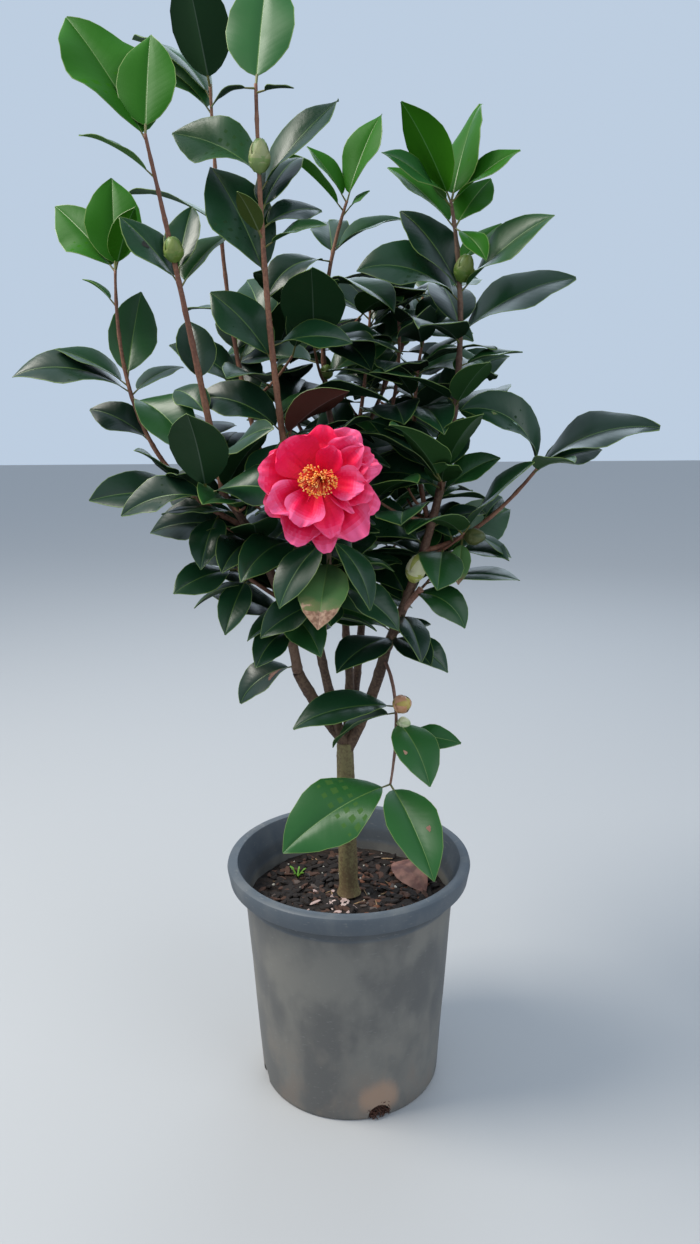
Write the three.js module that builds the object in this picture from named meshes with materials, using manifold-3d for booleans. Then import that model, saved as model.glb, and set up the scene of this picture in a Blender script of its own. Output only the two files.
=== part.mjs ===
// Camellia shrub in its nursery pot, in millimetres, +Z up.
// The origin is the middle of the pot's flat underside, and the front of the plant faces -Y.
// The trunk forks into five boughs. Each mass of foliage is one body: stems, side twigs,
// leaves and buds, fused, that starts a hair's breadth past the tip of its bough.
import * as THREE from "three";
import { mergeVertices } from "three/addons/utils/BufferGeometryUtils.js";
import Module from "manifold-3d";

const wasm = await Module();
wasm.setup();

// Clearance between neighbouring bodies
const GAP = 0.3;

// Pot, soil and trunk
const POT_HEIGHT = 255;
const RIM_RADIUS = 130;
const MOUTH_RADIUS = 118;
const BASE_RADIUS = 97.5;
const COLLAR_RADIUS = 111.5;
const WALL = 3;
const BAND_HEIGHT = 21;
const COLLAR_HEIGHT = 38;
const POT_FACETS = 36;
const DRAIN_COUNT = 4;
const DRAIN_RADIUS = 12;
const DRAIN_CENTRE = 4;
const FIRST_DRAIN = 288;
const SOIL_TOP = 209.5;
const TRUNK = { via: [-2, 0, 290], to: [-3, 0, 383], radii: [10.6, 9] };
const FLARE = 3;
const FLARE_HEIGHT = 14;

// Boughs: where each leaves the trunk, a point it bends through, its tip, its two radii
const BOUGHS = {
  bough_left: { at: 1, via: [-30, -6, 424], to: [-50, -14, 464], radii: [6.6, 5.6] },
  bough_right: { at: 0.94, via: [22, -5, 428], to: [39, -8, 485], radii: [6.2, 5.4] },
  bough_centre_left: { at: 0.95, via: [-18, -13, 440], to: [-29, -22, 499], radii: [5.2, 4.4] },
  bough_centre: { at: 0.97, via: [2, 9, 436], to: [-1, 18, 490], radii: [5.2, 4.2] },
  bough_back: { at: 0.9, via: [8, 30, 430], to: [16, 62, 500], radii: [5, 4] },
};

// Shoots, grouped by the mass of foliage that they carry
const SHOOTS = {
  left_stem: { mass: "foliage_left", from: "bough_left", at: 1,
    via: [-74, -26, 569], to: [-117, -42, 650], radii: [5.2, 3.6] },
  left_front: { mass: "foliage_left", from: "left_stem", at: 1,
    via: [-138, -68, 805], to: [-164, -80, 950], radii: [3.4, 1.5] },
  left_far: { mass: "foliage_left", from: "left_stem", at: 0.76,
    via: [-190, -6, 699], to: [-213, 0, 852], radii: [3, 1.4] },
  left_low: { mass: "foliage_left", from: "left_stem", at: 0.36,
    via: [-88, -32, 560], to: [-106, -30, 574], radii: [2.2, 1.6] },
  centre_left_stem: { mass: "foliage_centre_left", from: "bough_centre_left", at: 1,
    via: [-47, -36, 598], to: [-57, -48, 698], radii: [4.2, 3.4] },
  centre_left_front: { mass: "foliage_centre_left", from: "centre_left_stem", at: 1,
    via: [-68, -66, 832], to: [-71, -80, 987], radii: [3.2, 1.5] },
  centre_left_back: { mass: "foliage_centre_left", from: "centre_left_stem", at: 0.62,
    via: [-102, 14, 761], to: [-121, 20, 1013], radii: [3, 1.4] },
  centre_stem: { mass: "foliage_centre", from: "bough_centre", at: 1,
    via: [-5, 24, 590], to: [-10, 30, 692], radii: [4, 3.2] },
  centre_top: { mass: "foliage_centre", from: "centre_stem", at: 1,
    via: [-21, 42, 803], to: [3, 50, 918], radii: [3, 1.4] },
  centre_dark: { mass: "foliage_centre", from: "centre_stem", at: 0.62,
    via: [16, 74, 722], to: [26, 86, 822], radii: [2.5, 1.3] },
  centre_right: { mass: "foliage_centre", from: "centre_stem", at: 0.45,
    via: [46, 58, 716], to: [52, 66, 822], radii: [2.5, 1.3] },
  right_stem: { mass: "foliage_right", from: "bough_right", at: 1,
    via: [101, -16, 704], to: [96, -20, 907], radii: [5.2, 1.5] },
  right_far: { mass: "foliage_right", from: "right_stem", at: 0.23,
    via: [128, -20, 612], to: [183, -22, 668], radii: [2.7, 1.6] },
  right_inner: { mass: "foliage_right", from: "right_stem", at: 0.28,
    via: [68, 18, 702], to: [77, 30, 790], radii: [2.7, 1.3] },
  low_stem: { mass: "foliage_low", from: "bough_right", at: 0.92,
    via: [48, -40, 432], to: [42, -54, 358], radii: [1.9, 1.3] },
  bloom_stem: { mass: "bloom_spray", from: "bough_centre_left", at: 0.88,
    via: [-16, -76, 585], to: [-20, -115, 656], radii: [2.6, 2] },
  back_stem: { mass: "foliage_back", from: "bough_back", at: 1,
    via: [20, 92, 610], to: [18, 114, 690], radii: [3.9, 2.8] },
  back_left: { mass: "foliage_back", from: "back_stem", at: 0.45,
    via: [-50, 124, 700], to: [-88, 136, 800], radii: [2.7, 1.3] },
  back_right: { mass: "foliage_back", from: "back_stem", at: 1,
    via: [50, 140, 760], to: [84, 142, 836], radii: [2.6, 1.3] },
  back_low: { mass: "foliage_back", from: "back_stem", at: 0.3,
    via: [14, 132, 600], to: [6, 168, 664], radii: [2.4, 1.4] },
};

// Kinds of leaf: how far the blade arches over, and its width over its length
const OLD = { arch: 40, width: 0.56 };
const YOUNG = { arch: 12, width: 0.56 };
const SOFT = { arch: 26, width: 0.54 };
const BROAD = { arch: 30, width: 0.64 };

// Leaves that give the crown its outline: place on the shoot, azimuth, rise, length, kind,
// then arch and roll where they differ from the kind's own
const OUTER_LEAVES = {
  left_front: [
    [1, 87, 72, 84, YOUNG, 10, 0], [0.98, 146, 56, 130, YOUNG, 10, -25], [0.88, 190, 42, 60, SOFT, 30, -10],
    [0.59, 200, 54, 70, BROAD, 15, -30], [0.61, 75, 68, 64, OLD, 20, 0], [0.58, 50, 50, 74, OLD, 25],
    [0.31, 112, 63, 62, BROAD, 15, 0], [0.03, 130, 42, 70, OLD],
    [0.07, 70, 40, 76, OLD], [0.22, 130, 40, 56, OLD],
  ],
  left_far: [
    [1, 145, 45, 92, YOUNG, 12, -50], [1, 100, 68, 92, YOUNG, 12, 0], [1, 320, 64, 54, YOUNG, 12, 0],
    [0.91, 170, 50, 32, YOUNG, 30, 0], [0.7, 78, 67, 86, OLD, 12, 35], [0.66, 188, 34, 106, OLD, 55, -36],
    [0.68, 142, 38, 68, OLD, 25, -20], [0.64, 325, -12, 84, BROAD, 50, 40], [0.65, 42, 38, 58, OLD, 30, 10],
    [0.48, 160, 38, 66, OLD, 30, -45], [0.3, 240, 35, 60, OLD, 10],
    [0.2, 178, 16, 96, OLD, 30, -35], [0.23, 98, 64, 40, OLD, 15, 0], [0.11, 255, -25, 60, OLD],
    [0.4, 30, 30, 70, OLD],
  ],
  left_low: [
    [1, 215, 0, 62, BROAD, 30, -40], [0.97, 165, 5, 72, OLD, 30, -20], [0.7, 250, -30, 60, OLD, 25, -20],
    [0.95, 110, 30, 66, OLD],
  ],
  left_stem: [
    [0.74, 190, 14, 98, OLD, 35, -45], [0.6, 170, 30, 80, OLD], [0.03, 188, -8, 64, BROAD, 55, -30],
    [0.28, 300, 5, 72, OLD, 55], [0.66, 260, 40, 74, OLD],
  ],
  centre_left_front: [
    [1, 80, 68, 102, SOFT, 8, 0], [0.99, 190, 0, 34, OLD, 60, 0], [0.98, 330, 5, 28, OLD, 20],
    [0.79, 165, 38, 88, BROAD, 30, -55], [0.745, 12, 55, 92, OLD, 18, 30], [0.52, 158, 66, 104, OLD, 15, -40],
    [0.62, 235, 55, 38, SOFT, 15, 10], [0.6, 350, 30, 50, OLD, 30, 30], [0.65, 40, 35, 62, OLD],
    [0.69, 60, 55, 78, OLD, 30], [0.55, 85, 45, 70, OLD, 10], [0.04, 172, 42, 88, OLD, 50, -45],
    [0.02, 330, 42, 74, OLD, 25, -25], [0.02, 240, -33, 60, BROAD, 20, -20], [0.27, 153, 55, 82, OLD, 25, -40],
    [0.32, 10, 20, 66, OLD],
  ],
  centre_left_stem: [[0.52, 235, 5, 80, OLD, 50], [0.14, 255, 30, 60, OLD]],
  centre_left_back: [
    [1, 255, 64, 90, BROAD, 6, 0], [0.98, 150, 58, 104, OLD, 50, 0], [0.96, 145, 50, 84, OLD, 30],
    [0.79, 165, 34, 92, OLD, 30, 0], [0.53, 130, 60, 74, OLD, 30], [0.44, 165, 50, 84, OLD],
    [0.51, 60, 60, 66, OLD],
  ],
  centre_top: [
    [1, 20, 72, 80, YOUNG, 12, 30], [1, 122, 58, 58, YOUNG, 12, -20], [0.96, 186, 50, 74, YOUNG, 20, 0],
    [0.94, 355, 48, 26, YOUNG, 20, 30], [0.8, 17, 38, 70, OLD, 30, 20], [0.76, 205, 5, 74, OLD, 75, -40],
    [0.6, 250, 10, 70, OLD], [0.67, 315, 0, 88, OLD], [0.78, 70, 45, 70, OLD, 30],
    [0.46, 305, -5, 80, OLD],
  ],
  centre_dark: [
    [0.96, 305, 30, 84, OLD], [0.94, 150, 40, 84, OLD], [0.89, 90, 10, 74, OLD],
    [0.9, 30, 60, 80, OLD, 30],
  ],
  centre_right: [
    [0.96, 20, 45, 84, OLD], [0.9, 250, 45, 80, OLD], [0.81, 200, 20, 70, OLD],
    [0.67, 180, 30, 50, OLD],
  ],
  right_stem: [
    [1, 200, 64, 84, YOUNG, 12, 30], [1, 82, 66, 98, YOUNG, 12, -35], [1, 350, 42, 64, YOUNG, 15, 40],
    [0.94, 43, 50, 60, YOUNG, 15, 30], [0.985, 180, 42, 72, SOFT, 25, -50], [0.94, 140, 48, 80, YOUNG, 15, -20],
    [0.94, 306, -24, 44, YOUNG, 30, 30], [0.86, 15, 42, 60, YOUNG, 15, 10], [0.8, 336, 46, 96, OLD, 20, 50],
    [0.71, 8, 40, 114, OLD, 32, 30], [0.78, 172, 45, 98, BROAD, 60, -45], [0.8, 147, 62, 92, OLD, 25, -30],
    [0.72, 100, 45, 84, OLD, 30], [0.69, 240, 25, 80, OLD], [0.64, 8, 20, 54, OLD, 20, 10],
    [0.62, 60, 15, 76, OLD], [0.55, 295, 45, 62, OLD, 20, 0], [0.38, 178, 62, 86, OLD, 45, -45],
    [0.35, 0, 46, 62, OLD, 30, 45], [0.4, 50, 56, 62, OLD, 20, 30], [0.48, 95, 30, 66, OLD],
    [0.28, 0, 28, 48, OLD, 30, 30], [0.21, 34, 42, 38, SOFT, 15, 0],
    [0.13, 336, 8, 64, OLD, 80, 40], [0.03, 345, -12, 60, OLD, 40, 30], [0.03, 10, 28, 34, OLD, 30, 30],
    [0.03, 315, 5, 60, OLD], [0.04, 150, 35, 84, OLD], [0.03, 245, 5, 84, OLD, 30],
    [0.12, 115, 40, 84, OLD], [0.24, 165, 40, 84, OLD], [0.145, 26, 40, 56, OLD, 15, 40],
  ],
  right_inner: [
    [0.84, 320, 30, 76, OLD], [0.8, 235, 20, 84, OLD], [0.62, 285, 5, 80, OLD],
    [0.98, 60, 50, 80, OLD, 30],
  ],
  right_far: [
    [1, 355, 42, 114, OLD, 50, 26], [1, 172, 80, 96, OLD, 95, -45], [0.99, 20, 24, 66, OLD, 25, 40],
    [0.97, 290, 25, 62, OLD, 30], [0.53, 29, 40, 38, OLD, 30, 40], [0.36, 255, -55, 40, OLD, 20, 0],
    [0.42, 350, -22, 44, OLD, 20, 30],
  ],
  low_stem: [
    [1, 200, -12, 118, SOFT, 30], [1, 292, -18, 106, SOFT, 25], [0.47, 190, 8, 98, OLD, 35],
    [0.52, 150, -15, 74, OLD], [0.58, 295, -10, 76, SOFT, 50], [0.69, 350, 5, 56, SOFT, 20],
  ],
  bloom_stem: [
    [0.55, 262, -30, 74, BROAD, 20, 0], [0.3, 205, -12, 66, OLD, 25, -40], [0.15, 300, -45, 64, OLD, 20, 0],
    [0.42, 345, -20, 74, OLD, 30, 30], [0.5, 20, 5, 58, OLD, 30], [0.5, 185, 10, 84, OLD, 30],
    [0.68, 335, -35, 70, OLD, 50], [0.68, 215, -30, 72, OLD, 40], [0.8, 60, 10, 80, OLD],
    [0.82, 130, 15, 80, OLD],
  ],
  back_left: [[1, 110, 60, 84, OLD], [1, 230, 45, 70, OLD]],
  back_right: [[1, 60, 60, 80, OLD], [0.96, 205, 50, 70, OLD]],
  back_low: [[1, 90, 30, 84, OLD]],
};

// Side twigs: shoot, first and last place on it, count, first azimuth, rise, length
const TWIG_ROWS = [
  ["left_stem", 0.42, 0.95, 4, 200, 20, 62],
  ["left_far", 0.1, 0.34, 2, 120, 20, 50],
  ["left_front", 0.04, 0.2, 2, 30, 40, 56],
  ["centre_left_stem", 0.3, 0.95, 5, 240, 25, 60],
  ["centre_left_back", 0.12, 0.42, 3, 60, 35, 56],
  ["centre_stem", 0.35, 0.95, 5, 30, 25, 60],
  ["centre_top", 0.08, 0.45, 3, 130, 30, 56],
  ["centre_dark", 0.42, 0.85, 2, 90, 35, 50],
  ["centre_right", 0.45, 0.85, 2, 20, 35, 50],
  ["right_stem", 0.12, 0.3, 2, 60, 25, 60],
  ["right_inner", 0.3, 0.8, 2, 120, 30, 50],
  ["back_stem", 0.25, 0.95, 5, 60, 25, 66],
  ["back_left", 0.2, 0.85, 3, 100, 35, 60],
  ["back_right", 0.2, 0.85, 3, 26, 35, 60],
  ["back_low", 0.35, 0.9, 2, 120, 15, 56],
  ["right_stem", 0.4, 0.5, 2, 100, 25, 60],
];
const TWIG_RADII = [1.7, 1.2];
const TWIG_LEAF = 88;
const TWIG_LEAVES = [
  { at: 1, turn: 10, rise: 45 },
  { at: 0.96, turn: 105, rise: 25 },
  { at: 0.74, turn: -110, rise: 15 },
  { at: 0.5, turn: 75, rise: 10 },
];

// Leaves straight on the shoots: shoot, first and last place on it, count, first azimuth, rise, length
const INNER_LEAF_ROWS = [
  ["left_stem", 0.35, 0.98, 8, 40, 30, 84],
  ["left_front", 0.03, 0.16, 3, 200, 35, 80],
  ["left_far", 0.06, 0.34, 3, 100, 30, 80],
  ["centre_left_stem", 0.3, 1, 9, 90, 30, 84],
  ["centre_left_back", 0.1, 0.4, 4, 30, 35, 80],
  ["centre_stem", 0.4, 1, 7, 20, 30, 86],
  ["centre_top", 0.05, 0.5, 5, 100, 35, 84],
  ["centre_dark", 0.35, 0.9, 4, 60, 40, 92],
  ["centre_right", 0.35, 0.9, 4, 120, 40, 92],
  ["right_stem", 0.1, 0.56, 7, 80, 32, 86],
  ["right_inner", 0.3, 0.95, 4, 200, 38, 92],
  ["back_stem", 0.35, 1, 7, 90, 30, 86],
  ["back_left", 0.25, 1, 9, 150, 40, 88],
  ["back_right", 0.25, 1, 8, 60, 40, 88],
  ["back_low", 0.3, 1, 5, 30, 25, 84],
];
const SPIRAL = 144;

// Leaf: stalk, then the blade as place along the rib and share of the half width, fold, thickness
const STALK = 9;
const STALK_HALF = 1;
const OUTER_BLADE = [[0.33, 0.95], [0.7, 0.82]];
const INNER_BLADE = [[0.48, 1]];
const FOLD = 16;
const THICK_SHARE = 0.0055;
const LEAST_THICK = 0.5;
const LEAF_CLEARANCE = 0.35;
const LIMB_CLEARANCE = 0.5;
const ROOT_SHARE = 0.06;
const TURNS = [0, 12, -12, 24, -24, 36, -36];
const FRONT_ROLL = 28;
const INNER_FRONT_ROLL = 20;

// Buds: shoot, place on it, azimuth, rise, length, width
const BUDS = [
  ["left_front", 0.64, 265, 72, 21, 17],
  ["centre_left_front", 0.78, 290, 80, 27, 18],
  ["right_stem", 0.815, 320, 72, 25, 18],
  ["centre_top", 0.27, 285, 50, 15, 13],
  ["right_stem", 0.155, 285, 58, 33, 19],
  ["right_far", 0.36, 320, 5, 22, 16],
  ["low_stem", 0.46, 300, 20, 20, 18],
  ["back_left", 0.72, 90, 60, 22, 15],
  ["back_right", 0.66, 60, 60, 22, 15],
];
const BUD_STALK = 4;
const BUD_OUTLINE = [[0, 0.5], [0.35, 1], [0.7, 0.8]];

// Bloom at the tip of its stem: centre and facing, whorls of petals, and the heart with its stamens
const BLOOM_CENTRE = [-21, -140, 663];
const BLOOM_FACING = [0.05, -0.96, 0.22];
const BLOOM_REACH = { radius: 59, depth: 30, setback: 8 };
const PETAL_WHORLS = [
  { count: 6, first: 0, shape: { rise: 8, length: 45, width: 1.15, arch: 12, roll: 0 } },
  { count: 5, first: 25, shape: { rise: 30, length: 38, width: 1.1, arch: 20, roll: 0 } },
  { count: 3, first: 50, shape: { rise: 52, length: 28, width: 0.9, arch: 15, roll: 0 } },
];
const PETAL = [[0.45, 0.8], [0.9, 0.9]];
const BLOOM_HEART = [[-26, 3], [-16, 9], [-4, 9], [4, 8]];
const HEART_TIP = 14;

const UP = new THREE.Vector3(0, 0, 1);
const radians = THREE.MathUtils.degToRad;
const point = (xyz) => new THREE.Vector3(...xyz);

// Seeded draws, so that the plant always grows the same way
class Draws {
  constructor(seed) {
    this.state = seed;
  }

  between(low, high) {
    this.state = (this.state * 16807) % 2147483647;
    return low + ((high - low) * this.state) / 2147483647;
  }
}

const direction = (azimuth, rise) =>
  new THREE.Vector3(
    Math.cos(radians(rise)) * Math.cos(radians(azimuth)),
    Math.cos(radians(rise)) * Math.sin(radians(azimuth)),
    Math.sin(radians(rise)),
  );

// Closed surface through rings of equal count, ended by flat caps or by a tip.
// The upper and lower halves are split along matching diagonals, so that thin blades never cross.
function loft(rings, tip) {
  const sides = rings[0].length;
  const points = rings.flat();
  const faces = [];
  for (let k = 0; k + 1 < rings.length; k += 1) {
    for (let i = 0; i < sides; i += 1) {
      const a = k * sides + i;
      const b = k * sides + ((i + 1) % sides);
      if (i < sides / 2) faces.push(a, b, b + sides, a, b + sides, a + sides);
      else faces.push(a, b, a + sides, b, b + sides, a + sides);
    }
  }
  for (let i = 1; i + 1 < sides; i += 1) faces.push(0, i + 1, i);
  const last = (rings.length - 1) * sides;
  if (tip) {
    for (let i = 0; i < sides; i += 1) faces.push(last + i, last + ((i + 1) % sides), points.length);
    points.push(tip);
  } else {
    for (let i = 1; i + 1 < sides; i += 1) faces.push(last, last + i, last + i + 1);
  }
  const geometry = new THREE.BufferGeometry().setFromPoints(points);
  geometry.setIndex(faces);
  return geometry;
}

// Circle of points about a centre, square to the heading
function circle(centre, heading, radius, sides) {
  const side = new THREE.Vector3().crossVectors(heading, new THREE.Vector3(0, 1, 0)).normalize();
  const up = new THREE.Vector3().crossVectors(heading, side).normalize();
  const ring = [];
  for (let i = 0; i < sides; i += 1) {
    const angle = (i * 2 * Math.PI) / sides;
    ring.push(
      centre
        .clone()
        .addScaledVector(side, Math.cos(angle) * radius)
        .addScaledVector(up, Math.sin(angle) * radius),
    );
  }
  return ring;
}

// Tapering limb that bends from its foot, through a point, to its tip
class Limb {
  constructor(foot, via, tip, radii, facing) {
    const lift = via.clone().multiplyScalar(2).addScaledVector(foot, -0.5).addScaledVector(tip, -0.5);
    this.curve = new THREE.QuadraticBezierCurve3(foot, lift, tip);
    this.radii = radii;
    this.facing = facing;
  }

  axis(t) {
    return this.curve.getPoint(t);
  }

  heading(t) {
    const { v0, v1, v2 } = this.curve;
    const first = v1.clone().sub(v0).multiplyScalar(1 - t);
    return first.addScaledVector(v2.clone().sub(v1), t).normalize();
  }

  radius(t) {
    return THREE.MathUtils.lerp(this.radii[0], this.radii[1], t);
  }

  geometry(sides, steps, spare = 0, from = 0, to = 1) {
    const rings = [];
    for (let k = 0; k <= steps; k += 1) {
      const t = from + ((to - from) * k) / steps;
      const heading = k === 0 && this.facing ? this.facing : this.heading(t);
      const centre = this.axis(t).addScaledVector(heading, t === 1 ? spare : 0);
      rings.push(circle(centre, heading, this.radius(t) + spare, sides));
    }
    return loft(rings);
  }
}

// Blade on a stalk: its rib leaves at the rise and arches over, and its halves fold up
class Blade {
  constructor(foot, azimuth, shape, outline) {
    const { rise, length, arch, width, roll } = shape;
    this.outline = outline;
    this.foot = foot;
    this.rise = radians(rise);
    this.arch = radians(arch);
    this.length = length;
    this.half = (length * width) / 2;
    this.roll = radians(roll);
    this.out = direction(azimuth, 0);
    this.across = direction(azimuth + 90, 0);
    this.thick = Math.max(LEAST_THICK, length * THICK_SHARE);
  }

  heading(t) {
    const angle = this.rise - this.arch * t;
    return this.out.clone().multiplyScalar(Math.cos(angle)).addScaledVector(UP, Math.sin(angle));
  }

  rib(t) {
    const end = this.rise - this.arch * t;
    const outward = ((Math.sin(this.rise) - Math.sin(end)) / this.arch) * this.length;
    const upward = ((Math.cos(end) - Math.cos(this.rise)) / this.arch) * this.length;
    return this.foot
      .clone()
      .addScaledVector(this.heading(0), STALK)
      .addScaledVector(this.out, outward)
      .addScaledVector(UP, upward);
  }

  section(centre, t, half, thick, fold) {
    const ahead = this.heading(t);
    const up = new THREE.Vector3().crossVectors(ahead, this.across);
    const turn = this.roll * Math.min(1, 2 * t);
    const side = this.across.clone().multiplyScalar(Math.cos(turn)).addScaledVector(up, Math.sin(turn));
    const top = new THREE.Vector3().crossVectors(ahead, side);
    const lift = Math.sin(radians(fold)) * half;
    const reach = Math.cos(radians(fold)) * half;
    return [
      centre.clone().addScaledVector(side, reach).addScaledVector(top, lift),
      centre.clone().addScaledVector(top, thick),
      centre.clone().addScaledVector(side, -reach).addScaledVector(top, lift),
      centre.clone().addScaledVector(top, -thick),
    ];
  }

  sections(spare = 0) {
    return this.outline.map(([t, share]) =>
      this.section(this.rib(t), t, this.half * share + spare, this.thick + spare, FOLD),
    );
  }

  root(spare = 0) {
    return this.section(this.foot, 0, STALK_HALF + spare, STALK_HALF + spare, 0);
  }

  // Section where the stalk passes into the blade
  neck(spare) {
    const [t, share] = this.outline[0];
    const way = STALK / (STALK + t * this.length);
    const half = THREE.MathUtils.lerp(STALK_HALF, this.half * share, way);
    const centre = this.foot.clone().lerp(this.rib(t), way);
    return this.section(centre, 0, half + spare, STALK_HALF + spare, FOLD);
  }

  geometry() {
    return loft([this.root(), ...this.sections()], this.rib(1));
  }

  guard() {
    const tip = this.rib(1).addScaledVector(this.heading(1), LEAF_CLEARANCE);
    return loft([this.neck(LEAF_CLEARANCE), ...this.sections(LEAF_CLEARANCE)], tip);
  }

  stalkGuard() {
    return loft([this.root(LEAF_CLEARANCE), this.neck(LEAF_CLEARANCE)]);
  }
}

// Body of turning about the line from a centre along a facing, given as height and radius
function turned(centre, facing, outline, sides, tipHeight) {
  const at = (height) => centre.clone().addScaledVector(facing, height);
  const rings = outline.map(([height, radius]) => circle(at(height), facing, radius, sides));
  return loft(rings, at(tipHeight));
}

function budGeometry(foot, azimuth, rise, length, width, spare = 0) {
  const facing = direction(azimuth, rise);
  const outline = BUD_OUTLINE.map(([share, fat]) => [
    BUD_STALK + length * share,
    (width / 2) * fat + spare,
  ]);
  return turned(foot, facing, [[0, 1.5], ...outline], 6, BUD_STALK + length + spare);
}

// Triangles of a geometry with the box that holds them
function trianglesOf(geometry) {
  const position = geometry.getAttribute("position");
  const corners = Array.from(geometry.index.array, (i) => new THREE.Vector3().fromBufferAttribute(position, i));
  const faces = [];
  for (let i = 0; i < corners.length; i += 3) faces.push(corners.slice(i, i + 3));
  return { faces, box: new THREE.Box3().setFromPoints(corners) };
}

const ray = new THREE.Ray();
const hit = new THREE.Vector3();

// Whether an edge of one body's faces passes through a face of the other's
function pierces(body, other) {
  for (const face of body.faces) {
    for (let i = 0; i < 3; i += 1) {
      const start = face[i];
      const end = face[(i + 1) % 3];
      const length = start.distanceTo(end);
      ray.origin.copy(start);
      ray.direction.subVectors(end, start).divideScalar(length);
      for (const [a, b, c] of other.faces) {
        if (ray.intersectTriangle(a, b, c, false, hit) && start.distanceTo(hit) <= length) return true;
      }
    }
  }
  return false;
}

// Everything that has grown so far. A root is the part that may sink into its own mass,
// so it only has to keep clear of the other masses.
const grown = [];
const crosses = (a, b) => a.box.intersectsBox(b.box) && (pierces(a, b) || pierces(b, a));

function remember(geometry, mass, isRoot = false) {
  grown.push({ ...trianglesOf(geometry), mass, isRoot });
}

function isBlocked(geometry, mass, isRoot = false) {
  const body = trianglesOf(geometry);
  const minds = (other) => other.mass !== mass || !(isRoot || other.isRoot);
  return grown.some((other) => minds(other) && crosses(body, other));
}

const trunk = new Limb(new THREE.Vector3(0, 0, SOIL_TOP + GAP), point(TRUNK.via), point(TRUNK.to), TRUNK.radii);
const limbs = { trunk };

// The trunk and boughs meet what goes on from their tips face to face, a gap apart.
// Inside a mass, a shoot starts within the tip of its parent.
function addLimb(name, from, { at, via, to, radii }) {
  const parent = limbs[from];
  const meets = at === 1 && !(from in SHOOTS);
  const facing = meets ? parent.heading(1) : undefined;
  const foot = parent.axis(meets ? 1 : Math.min(at, 0.98));
  if (meets) foot.addScaledVector(facing, GAP);
  limbs[name] = new Limb(foot, point(via), point(to), radii, facing);
}

for (const [name, row] of Object.entries(BOUGHS)) addLimb(name, "trunk", row);
for (const [name, row] of Object.entries(SHOOTS)) addLimb(name, row.from, row);

const bloomFacing = point(BLOOM_FACING).normalize();
const bloomCentre = point(BLOOM_CENTRE);

// Shell that keeps leaves out of the bloom
function bloomGuard() {
  const { radius, depth, setback } = BLOOM_REACH;
  const outline = [];
  for (let angle = -80; angle <= 40; angle += 40) {
    outline.push([depth * Math.sin(radians(angle)) - setback, radius * Math.cos(radians(angle))]);
  }
  return turned(bloomCentre, bloomFacing, outline, 10, depth - setback);
}

const massOf = (name) => SHOOTS[name]?.mass ?? name;
for (const [name, limb] of Object.entries(limbs)) {
  remember(limb.geometry(5, 6, LIMB_CLEARANCE, ROOT_SHARE), massOf(name));
  remember(limb.geometry(5, 1, LIMB_CLEARANCE, 0, ROOT_SHARE), massOf(name), true);
}
remember(bloomGuard(), "bloom");
for (const [shoot, at, ...shape] of BUDS) {
  remember(budGeometry(limbs[shoot].axis(at), ...shape, LIMB_CLEARANCE), massOf(shoot));
}

// Pieces of each mass, gathered as they grow
const masses = {};
const addPiece = (mass, geometry) => {
  masses[mass] ??= [];
  masses[mass].push(geometry);
};

// Turns a leaf about its stalk until it is clear, or leaves it out
function addLeaf(mass, limb, at, azimuth, shape, outline) {
  const foot = limb.axis(Math.min(at, 0.995));
  for (const turn of TURNS) {
    const blade = new Blade(foot, azimuth + turn, shape, outline);
    if (!isBlocked(blade.guard(), mass) && !isBlocked(blade.stalkGuard(), mass, true)) {
      remember(blade.guard(), mass);
      remember(blade.stalkGuard(), mass, true);
      addPiece(mass, blade.geometry());
      return;
    }
  }
}

function growOuterLeaves() {
  Object.entries(OUTER_LEAVES).forEach(([shoot, rows], index) => {
    const draws = new Draws(501 + 17 * index);
    for (const [at, azimuth, rise, length, kind, arch = kind.arch, set] of rows) {
      const sway = draws.between(-20, 20);
      const roll = set ?? sway + FRONT_ROLL * Math.cos(radians(azimuth));
      const width = kind.width * draws.between(0.95, 1.12);
      const shape = { rise, length, arch, width, roll };
      addLeaf(SHOOTS[shoot].mass, limbs[shoot], at, azimuth, shape, OUTER_BLADE);
    }
  });
}

function growTwig(mass, parent, at, azimuth, rise, length, draws, handed) {
  const foot = parent.axis(at);
  const way = direction(azimuth, rise);
  const via = foot.clone().addScaledVector(way, length * 0.5).addScaledVector(UP, -length * 0.05);
  const tip = foot.clone().addScaledVector(way, length).addScaledVector(UP, length * 0.12);
  const twig = new Limb(foot, via, tip, TWIG_RADII);
  const guard = twig.geometry(6, 2, LIMB_CLEARANCE, 0.2);
  const rootGuard = twig.geometry(6, 1, LIMB_CLEARANCE, 0, 0.2);
  if (isBlocked(guard, mass) || isBlocked(rootGuard, mass, true)) return;
  remember(guard, mass);
  remember(rootGuard, mass, true);
  addPiece(mass, twig.geometry(3, 2));
  for (const spot of TWIG_LEAVES) {
    const facing = azimuth + spot.turn * handed;
    const shape = {
      length: TWIG_LEAF * draws.between(0.82, 1.1),
      rise: spot.rise + draws.between(-18, 24),
      roll: draws.between(-35, 35) + INNER_FRONT_ROLL * Math.cos(radians(facing)),
      arch: OLD.arch * draws.between(0.5, 1.4),
      width: OLD.width * draws.between(0.95, 1.12),
    };
    addLeaf(mass, twig, spot.at, facing, shape, INNER_BLADE);
  }
}

function growTwigs() {
  TWIG_ROWS.forEach(([shoot, from, to, count, first, rise, length], index) => {
    for (let i = 0; i < count; i += 1) {
      const draws = new Draws(7001 + 101 * index + 13 * i);
      const at = THREE.MathUtils.lerp(from, to, i / (count - 1));
      const azimuth = first + SPIRAL * i + draws.between(-15, 15);
      const up = rise + draws.between(-15, 15);
      const size = length * draws.between(0.75, 1.15);
      growTwig(SHOOTS[shoot].mass, limbs[shoot], at, azimuth, up, size, draws, i % 2 ? 1 : -1);
    }
  });
}

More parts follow.
